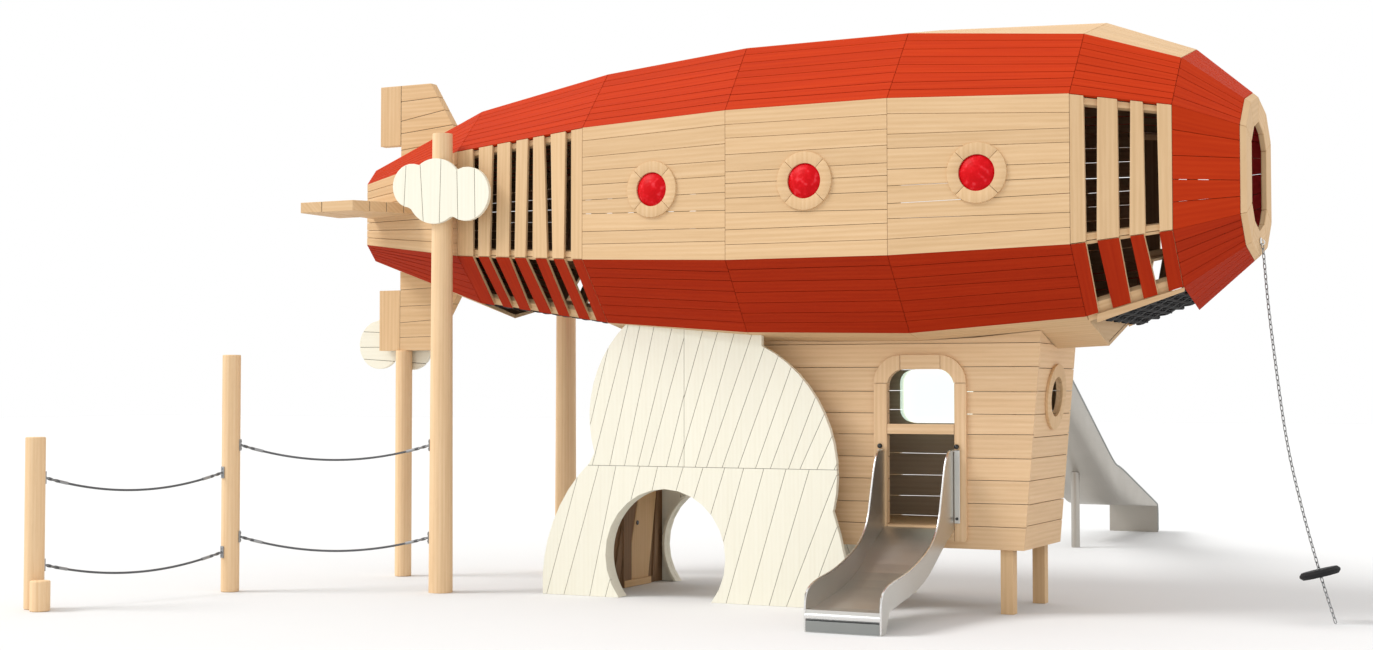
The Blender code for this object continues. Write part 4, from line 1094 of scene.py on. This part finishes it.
def framePartition():
    low, high = partitionFrame["foot"], partitionFrame["top"]
    face, edge = partitionFrame["face"], partitionFrame["edge"]
    for number, (places, leans, thickness, finish) in enumerate(partitionFrame["boards"]):
        plank = makeBlock((face, 0, low), (face + thickness, 1, high))
        for vertex in plank.data.vertices:
            side = 0 if vertex.co.y < 0.5 else 1
            vertex.co.y = places[side] + leans[side] * (vertex.co.z - low)
        grainMap(plank, upZ, overY)
        easeEdges(plank, edge)
        dress(plank, finish, name=f"partition_board_{number}")
    rail = makeBlock(*partitionFrame["rail"])
    grainMap(rail, overY, upZ)
    easeEdges(rail, edge)
    dress(rail, paleWood, name="partition_foot_rail")
    bolt = makeRound(facing("Y", partitionFrame["bolt"]), partitionFrame["boltRadius"],
                     partitionFrame["boltDepth"])
    easeEdges(bolt, edge)
    dress(bolt, darkSteel, name="partition_bolt")


def lineCrawlHoles():
    for name, hole in crawlHoles.items():
        middle = facing("X", (hole["x"], sum(hole["y"]) / 2, hole["z"]))
        deep = hole["y"][1] - hole["y"][0]
        lining = makeRound(middle, hole["radius"] + holeLining["thickness"], deep)
        cutAway(lining, makeRound(middle, hole["radius"], deep + holeLining["spare"]))
        cutAway(lining, makeBlock((hole["x"] - 1, -1, -1), (hole["x"] + 1, 1, holeLining["floor"])))
        grainMap(lining, overY, alongX)
        dress(lining, creamWood, name=f"crawl_hole_{name}_lining")
        smoothOver(lining)


framePartition()
lineCrawlHoles()
easedNode("tail_cap_wood", "tail_cap", paleWood, overY, upZ, easing["tailCap"])

doorFrame = {"arch": 1.69, "topJoints": (4.845, 5.16), "opening": (4.74, 5.267), "rail": (1.307, 1.389),
             "foot": 0.635, "gap": 0.0021, "edge": 0.004}


def makeDoorFrame():
    # two stiles, three pieces over the top, a rail and a foot board, each sawn from the frame's own shape
    gap, arch = doorFrame["gap"], doorFrame["arch"]
    left, right = doorFrame["topJoints"]
    (inLeft, inRight), (railLow, railHigh) = doorFrame["opening"], doorFrame["rail"]
    under, over = below(upZ, arch, gap), above(upZ, arch, gap)
    inside = [above(alongX, inLeft, gap), below(alongX, inRight, gap)]
    blank = plainCopy("door_frame")
    parts = [
        # cuts, grain along, grain across
        ([under, below(alongX, inLeft, gap)], upZ, alongX),
        ([under, above(alongX, inRight, gap)], upZ, alongX),
        ([over, below(alongX, left, gap)], upZ, alongX),
        ([over, above(alongX, left, gap), below(alongX, right, gap)], alongX, upZ),
        ([over, above(alongX, right, gap)], upZ, alongX),
        ([above(upZ, railLow, gap), below(upZ, railHigh, gap)] + inside, alongX, upZ),
        ([below(upZ, doorFrame["foot"], gap)] + inside, alongX, upZ)]
    pieces = []
    for cuts, along, across in parts:
        pieces.append(sawn(blank, cuts))
        grainMap(pieces[-1], along, across)
    toss(blank)
    joinAs("door_frame_wood", pieces, cabinWood, ["door_frame"], edge=doorFrame["edge"])


makeDoorFrame()

frontWindow = {"height": 1.59, "bottomX": 5.784, "low": 0.467, "lean": 0.134 / 1.557, "scale": 1.14,
               "flat": 0.55, "lift": 0.0136}


def makeFrontWindowRing():
    lean, wide = frontWindow["lean"], frontWindow["scale"]
    x = frontWindow["bottomX"] + lean * (frontWindow["height"] - frontWindow["low"])
    tilt = Matrix.Rotation(pi / 2 + atan2(lean, 1), 4, "Y")
    place = Matrix.Translation((x, 0, frontWindow["height"])) @ tilt
    place = place @ Matrix.Translation((0, 0, frontWindow["lift"]))
    ringOfWood("front_window_ring_wood", place, ["front_window_ring"], (wide, wide, frontWindow["flat"]))


makeFrontWindowRing()

farWindow = {"low": (4.52, 0.469, 1.386), "high": (5.09, 0.477, 1.797), "corner": 0.1, "cornerSteps": 6,
             "tint": (0.35, 0.5, 0.4), "glow": (0.83, 1.0, 0.88), "alpha": 0.3, "roughness": 0.12}


def glazeFarWindow():
    finish = Finish("tintedPane")
    # the pane's emission is painted light: the glass glows though it is no lamp
    finish.set(base_color=(*farWindow["tint"], 1), roughness=farWindow["roughness"], alpha=farWindow["alpha"],
               emission_color=(*farWindow["glow"], 1), emission_strength=1.0)
    pane = makeBlock(farWindow["low"], farWindow["high"])
    pane.name = "far_window_pane"
    editEdges(pane, lambda a, b: abs(a.y - b.y) > 0.001, bpy.ops.mesh.bevel, offset=farWindow["corner"],
              segments=farWindow["cornerSteps"], affect="EDGES")
    pane.data.materials.append(finish.material)
    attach(pane, "root")


glazeFarWindow()
print("cabin fitted")

# woven rubber nets under the belly, and the boards that the front one hangs from

nets = {
    # below: how far each net hangs under the hull's lower corners, at its tail end and at its nose end
    "belly_net_front": dict(start=6.38, end=6.953, across=6, along=10, width=0.056, thickness=0.018,
                            wave=0.009, below=(0.04, 0.012), margin=0.05, edge=0.003),
    "belly_net_rear": dict(start=1.157, end=2.458, across=13, along=10, width=0.058, thickness=0.01,
                           wave=0.006, below=(-0.004, -0.004), margin=0.03, edge=0.003),
}
# drop: how far each border board reaches under its corner, at its tail end and at its nose end
netBorder = {"x": (6.372, 6.958), "thickness": 0.028, "top": 0.002, "edge": 0.003,
             "drop": {"near": (0.062, 0.03), "far": (0.03, 0.006)}}


def makeStrapPattern(cuts):
    strap = ownCopy(boardPattern, "strapPattern")
    editEdges(strap, lambda a, b: abs(a.x - b.x) > 0.5, bpy.ops.mesh.subdivide, number_cuts=cuts)
    return patternOf(strap)


def weaveNet(name, net):
    straps = []
    for lengthwise in (True, False):
        rows, crossings = (net["along"], net["across"]) if lengthwise else (net["across"], net["along"])
        pattern = makeStrapPattern(crossings * 4 - 1)
        for row in range(rows):
            strap = ownCopy(pattern, "strap")
            share = (row + 0.5) / rows
            for vertex in strap.data.vertices:
                s, f, d = vertex.co.x + 0.5, vertex.co.y, vertex.co.z
                u, v = (s, share) if lengthwise else (share, s)
                near, far = (hullPoint(net["start"] + (net["end"] - net["start"]) * u, c, 0) for c in (6, 4))
                near, far = near.lerp(far, net["margin"]), far.lerp(near, net["margin"])
                sway = cos(pi * (s * crossings - 0.5 + row)) * net["wave"] * (1 if lengthwise else -1)
                spot = near.lerp(far, v)
                if lengthwise:
                    spot.y += f * net["width"]
                else:
                    spot.x = min(max(spot.x + f * net["width"], net["start"]), net["end"])
                spot.z += sway + d * net["thickness"] - between(net["below"], u)
                vertex.co = spot
            straps.append(strap)
    smoothOver(joinAs(name + "_straps", straps, rubber, [name], edge=net["edge"]))


def borderFrontNet():
    for side, corner, inward in (("near", 6, 1), ("far", 4, -1)):
        board = makeBlock((0, 0, 0), (1, 1, 1))
        for vertex in board.data.vertices:
            share, deep, up = (round(value) for value in vertex.co)
            spot = hullPoint(between(netBorder["x"], share), corner, 0)
            spot.y += inward * netBorder["thickness"] * deep
            spot.z -= netBorder["top"] if up else netBorder["drop"][side][share]
            vertex.co = spot
        grainMap(board, alongX, upZ)
        joinAs("net_border_" + side, [board], paleWood, edge=netBorder["edge"])


borderFrontNet()
for name, net in nets.items():
    weaveNet(name, net)
print("nets woven")

# steel: slide rims and lips, doorway plates, rope fittings, the chain's eye and the long slide's bends

slideEdges = {
    # top: the rim's places from the mouth to the foot, as y and z; lip: the y and z of the roll at the foot
    "near": dict(x=4.99, half=0.273, radius=0.008, lift=0.003, lip=(-2.03, 0.108), lipRadius=0.026,
                 finish=brightSteel,
                 top=[(-0.524, 1.186), (-0.65, 1.186), (-0.725, 1.08), (-0.8, 0.86), (-0.87, 0.65),
                      (-1.06, 0.5), (-1.5, 0.372), (-1.9, 0.326), (-2.045, 0.255), (-2.045, 0.012)]),
    "far": dict(x=4.503, half=0.273, radius=0.011, lift=0.004, lip=(8.29, 0.31), lipRadius=0.013,
                finish=darkerSteel,
                top=[(1.23, 3.08), (1.75, 3.08), (4.558, 1.761), (6.303, 0.842), (6.522, 0.813),
                     (8.222, 0.336), (8.3, 0.31), (8.3, 0.016)]),
}
rimBend = {"reach": 0.3, "steps": 5, "mostOfLeg": 0.45, "liftAbove": 0.05, "rimSides": 12, "lipSides": 16}
# the foot plate is a darker steel sheet laid over the slide's foot as painted shade; the near-black strip
# under the lip roll is painted reflection
footShadePlate = {"half": 0.265, "y": (-2.0505, -2.0465), "z": (0.004, 0.076), "edge": 0.001}
lipReflectionStrip = {"y": (-2.0495, -2.0455), "z": (0.077, 0.086)}
doorPlates = {"reach": 0.301, "y": -0.5235, "size": (0.043, 0.012, 0.54), "middle": 0.925, "edge": 0.003,
              "domeRadius": 0.019, "domeSink": 0.01, "domeSteps": (16, 10),
              "domes": ((1.22, 1.0), (0.69, 0.6))}  # height, and size as a share of the radius


def easedRoute(points, reach, steps):
    # a route whose corners are rounded
    points = [Vector(p) for p in points]
    route = [points[0]]
    for before, corner, after in zip(points, points[1:], points[2:]):
        back, ahead = before - corner, after - corner
        start = corner + back.normalized() * min(reach, back.length * rimBend["mostOfLeg"])
        end = corner + ahead.normalized() * min(reach, ahead.length * rimBend["mostOfLeg"])
        for i in range(steps + 1):
            t = i / steps
            route.append(start * (1 - t) ** 2 + corner * 2 * t * (1 - t) + end * t ** 2)
    return [tuple(p) for p in route + [points[-1]]]


def rimSlides():
    for place, rim in slideEdges.items():
        edge = easedRoute(rim["top"], rimBend["reach"], rimBend["steps"])
        for hand, side in (("left", -1), ("right", 1)):
            route = [(rim["x"] + side * rim["half"], y, z + rim["lift"] * (z > rimBend["liftAbove"]))
                     for y, z in edge]
            dress(sweepTube(f"slide_{place}_rim_{hand}", route, rim["radius"], rimBend["rimSides"]),
                  rim["finish"])
        route = [(rim["x"] + side * rim["half"], *rim["lip"]) for side in (-1, 0, 1)]
        dress(sweepTube(f"slide_{place}_lip", route, rim["lipRadius"], rimBend["lipSides"]), rim["finish"])
    left, right = (slideEdges["near"]["x"] + side * footShadePlate["half"] for side in (-1, 1))
    # a darker plate over the foot as painted shade, and a near-black strip under the lip as painted reflection
    for name, part, finish, edge in (("slide_near_foot_plate_painted_shade", footShadePlate, darkerSteel, footShadePlate["edge"]),
                                     ("slide_near_lip_painted_reflection", lipReflectionStrip, darkSteel, 0)):
        (nearY, farY), (low, high) = part["y"], part["z"]
        joinAs(name, [makeBlock((left, nearY, low), (right, farY, high))], finish, edge=edge)


def fitDoorPlates():
    # a flat plate each side of the slide's mouth, with dark dome nuts
    around, upwards = doorPlates["domeSteps"]
    for hand, side in (("left", -1), ("right", 1)):
        x = slideEdges["near"]["x"] + side * doorPlates["reach"]
        wide, deep, tall = doorPlates["size"]
        low = (x - wide / 2, doorPlates["y"] - deep / 2, doorPlates["middle"] - tall / 2)
        plate = makeBlock(low, [a + b for a, b in zip(low, doorPlates["size"])])
        joinAs(f"handle_{hand}_plate", [plate], steel, ["handle_" + hand], edge=doorPlates["edge"])
        domes = []
        for height, size in doorPlates["domes"]:
            dome = newPiece(bpy.ops.mesh.primitive_uv_sphere_add, segments=around, ring_count=upwards,
                            radius=doorPlates["domeRadius"] * size)
            dome.data.transform(Matrix.Translation((x, doorPlates["y"] - doorPlates["domeSink"], height)))
            clearMaps(dome)
            domes.append(dome)
        smoothOver(joinAs(f"handle_{hand}_domes", domes, darkSteel, edge=0))


rimSlides()
fitDoorPlates()

# links, ferrule: lengths along the rope from its end
fitting = {"plate": (0.04, 0.01, 0.095), "plateRise": 0.001, "plateEdge": 0.003, "boltRadius": 0.008,
           "boltDepth": 0.012, "boltSides": 12, "boltEdge": 0.002, "boltRise": 0.006, "boltSpread": 0.03,
           "links": (0.016, 0.046, 0.076, 0.106), "linkHalf": 0.0135, "linkWire": 0.0034, "linkPitch": 0.034,
           "ferrule": (0.125, 0.195), "ferruleRadius": 0.0125, "ferruleSides": 12}


def alongRoute(route, wanted):
    # the place at a length along a route, and the way ahead there
    reached = 0.0
    for start, end in zip(route, route[1:]):
        start, end = Vector(start), Vector(end)
        ahead = (end - start).normalized()
        if reached + (end - start).length >= wanted:
            return start + ahead * (wanted - reached), ahead
        reached += (end - start).length
    return end, ahead


def fittingsAt(route, pattern):
    # a bolted plate, four links and a ferrule, at the start of a route
    start = Vector(route[0])
    heading = Vector(route[-1]) - start
    heading.z = 0
    heading.normalize()
    turn = Matrix((heading.cross(Vector(upZ)), heading, upZ)).transposed().to_4x4()
    size = fitting["plate"]
    plate = makeBlock([-part / 2 for part in size], [part / 2 for part in size])
    easeEdges(plate, fitting["plateEdge"], 2)
    plate.data.transform(Matrix.Translation(start + heading * fitting["plateRise"]) @ turn)
    pieces = [plate]
    for rise in (-1, 1):
        place = start + heading * fitting["boltRise"] + Vector((0, 0, rise * fitting["boltSpread"]))
        place = Matrix.Translation(place) @ turn @ Matrix.Rotation(pi / 2, 4, "X")
        pieces.append(makeRound(place, fitting["boltRadius"], fitting["boltDepth"], fitting["boltSides"],
                                fitting["boltEdge"]))
    for i, reach in enumerate(fitting["links"]):
        spot, ahead = alongRoute(route, reach)
        link = ownCopy(pattern, "link")
        link.data.transform(Matrix.Translation(spot) @ linkTurn(ahead, (i % 2) * pi / 2).to_4x4())
        pieces.append(link)
    first, last = (alongRoute(route, reach)[0] for reach in fitting["ferrule"])
    pieces.append(sweepTube("ferrule", [first, (first + last) / 2, last], fitting["ferruleRadius"],
                            fitting["ferruleSides"]))
    return pieces


def fitRopes():
    pattern = makeLink(fitting["linkHalf"], fitting["linkWire"], fitting["linkPitch"])
    for name, route in ropeRoutes.items():
        pieces = fittingsAt(route, pattern) + fittingsAt(route[::-1], pattern)
        for piece in pieces:
            clearMaps(piece)
        smoothOver(joinAs(name + "_fittings", pieces, chainSteel, edge=0))


fitRopes()

mooringEye = {"radius": 0.018, "wire": 0.0045, "steps": (20, 8), "place": (7.4035, 0, 2.694),
              "roseRadius": 0.026, "roseDepth": 0.008, "roseSides": 24, "roseEdge": 0.003,
              "rosePlace": (7.3955, 0, 2.704)}


def hangEye():
    around, through = mooringEye["steps"]
    eye = newPiece(bpy.ops.mesh.primitive_torus_add, major_radius=mooringEye["radius"],
                   minor_radius=mooringEye["wire"], major_segments=around, minor_segments=through)
    eye.data.transform(facing("X", mooringEye["place"]))
    rose = makeRound(facing("Y", mooringEye["rosePlace"]), mooringEye["roseRadius"], mooringEye["roseDepth"],
                     mooringEye["roseSides"], mooringEye["roseEdge"])
    for piece in (eye, rose):
        clearMaps(piece)
    smoothOver(joinAs("mooring_eye", [eye, rose], brightSteel, edge=0))


hangEye()

bends = {"cheek": 0.99, "under": -0.3, "sharpAngle": 35}


def softenFarSlide():
    # the cheeks roll into the underside: those two long bends are shaded as one surface
    slide = plainCopy("slide_far")
    mesh = slide.data
    ways = {}
    for face in mesh.polygons:
        face.use_smooth = True
        for key in face.edge_keys:
            ways.setdefault(key, []).append(face.normal.copy())
    for edge in mesh.edges:
        first, second = ways[edge.key][:2]
        cheek = max(abs(first.x), abs(second.x)) > bends["cheek"]
        under = min(first.z, second.z) < bends["under"]
        edge.use_edge_sharp = first.angle(second) > radians(bends["sharpAngle"]) and not (cheek and under)
    dress(slide, shadedFarSteel, ["slide_far"], "slide_far_rolled")


slideLeg = {"x": 4.503, "y": 5.706, "radius": 0.0455, "low": 0.7, "under": 0.7645, "slope": -0.5241}


def seatSlideLeg():
    # a collar on the leg, cut to the slope of the slide's underside
    collar = makeRound(Matrix.Translation((slideLeg["x"], slideLeg["y"], 0)), slideLeg["radius"], 1)
    for vertex in collar.data.vertices:
        seat = slideLeg["under"] + slideLeg["slope"] * (vertex.co.y - slideLeg["y"])
        vertex.co.z = seat if vertex.co.z > 0 else slideLeg["low"]
    dress(collar, shadedFarSteel, name="slide_far_leg_collar")
    smoothOver(collar)


softenFarSlide()
seatSlideLeg()
print("steel fitted")

# CAD solids whose shape stays, with their finishes

for finish, nodes in ((shadedDeckWood, ["deck"]), (steel, ["slide_near"]), (shadedFarSteel, ["slide_far_leg"]),
                      (rubber, ["chain_disc"]), (domeRed, ["porthole_" + name for name in portholes])):
    for node in nodes:
        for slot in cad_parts[node].material_slots:
            slot.material = finish
print("CAD solids finished")

# floor, sky and lights

studio = {"floorSize": 160, "floorPlace": (3, 2, -0.001), "floorColour": (0.74, 0.74, 0.735),
          "floorShade": 0.99, "speck": (3.0, 3.0), "roughness": 0.9, "gloss": 0.1, "sky": 1.0, "sun": 1.9,
          "sunSpread": 24, "sunTilt": (46, 0, -58)}


def addStudio():
    floor = newPiece(bpy.ops.mesh.primitive_plane_add, size=studio["floorSize"], location=studio["floorPlace"])
    floor.name = "pale_floor"
    settle(floor)
    finish = Finish("paleFloor")
    speck = finish.noise(finish.objectPlace(), *studio["speck"])
    shaded = tuple(part * studio["floorShade"] for part in studio["floorColour"])
    finish.set(base_color=finish.mix(speck, shaded, studio["floorColour"]), roughness=studio["roughness"],
               specular_ior_level=studio["gloss"])
    floor.data.materials.append(finish.material)
    world = bpy.data.worlds.new("paleSky")
    world.use_nodes = True
    world.node_tree.nodes["Background"].inputs["Color"].default_value = (1, 1, 1, 1)
    world.node_tree.nodes["Background"].inputs["Strength"].default_value = studio["sky"]
    bpy.context.scene.world = world
    light = bpy.data.lights.new("softSun", "SUN")
    light.energy = studio["sun"]
    light.angle = radians(studio["sunSpread"])
    putInScene("softSun", light).rotation_euler = [radians(a) for a in studio["sunTilt"]]
    bpy.context.scene.view_settings.view_transform = "Standard"


addStudio()
print("studio lit")
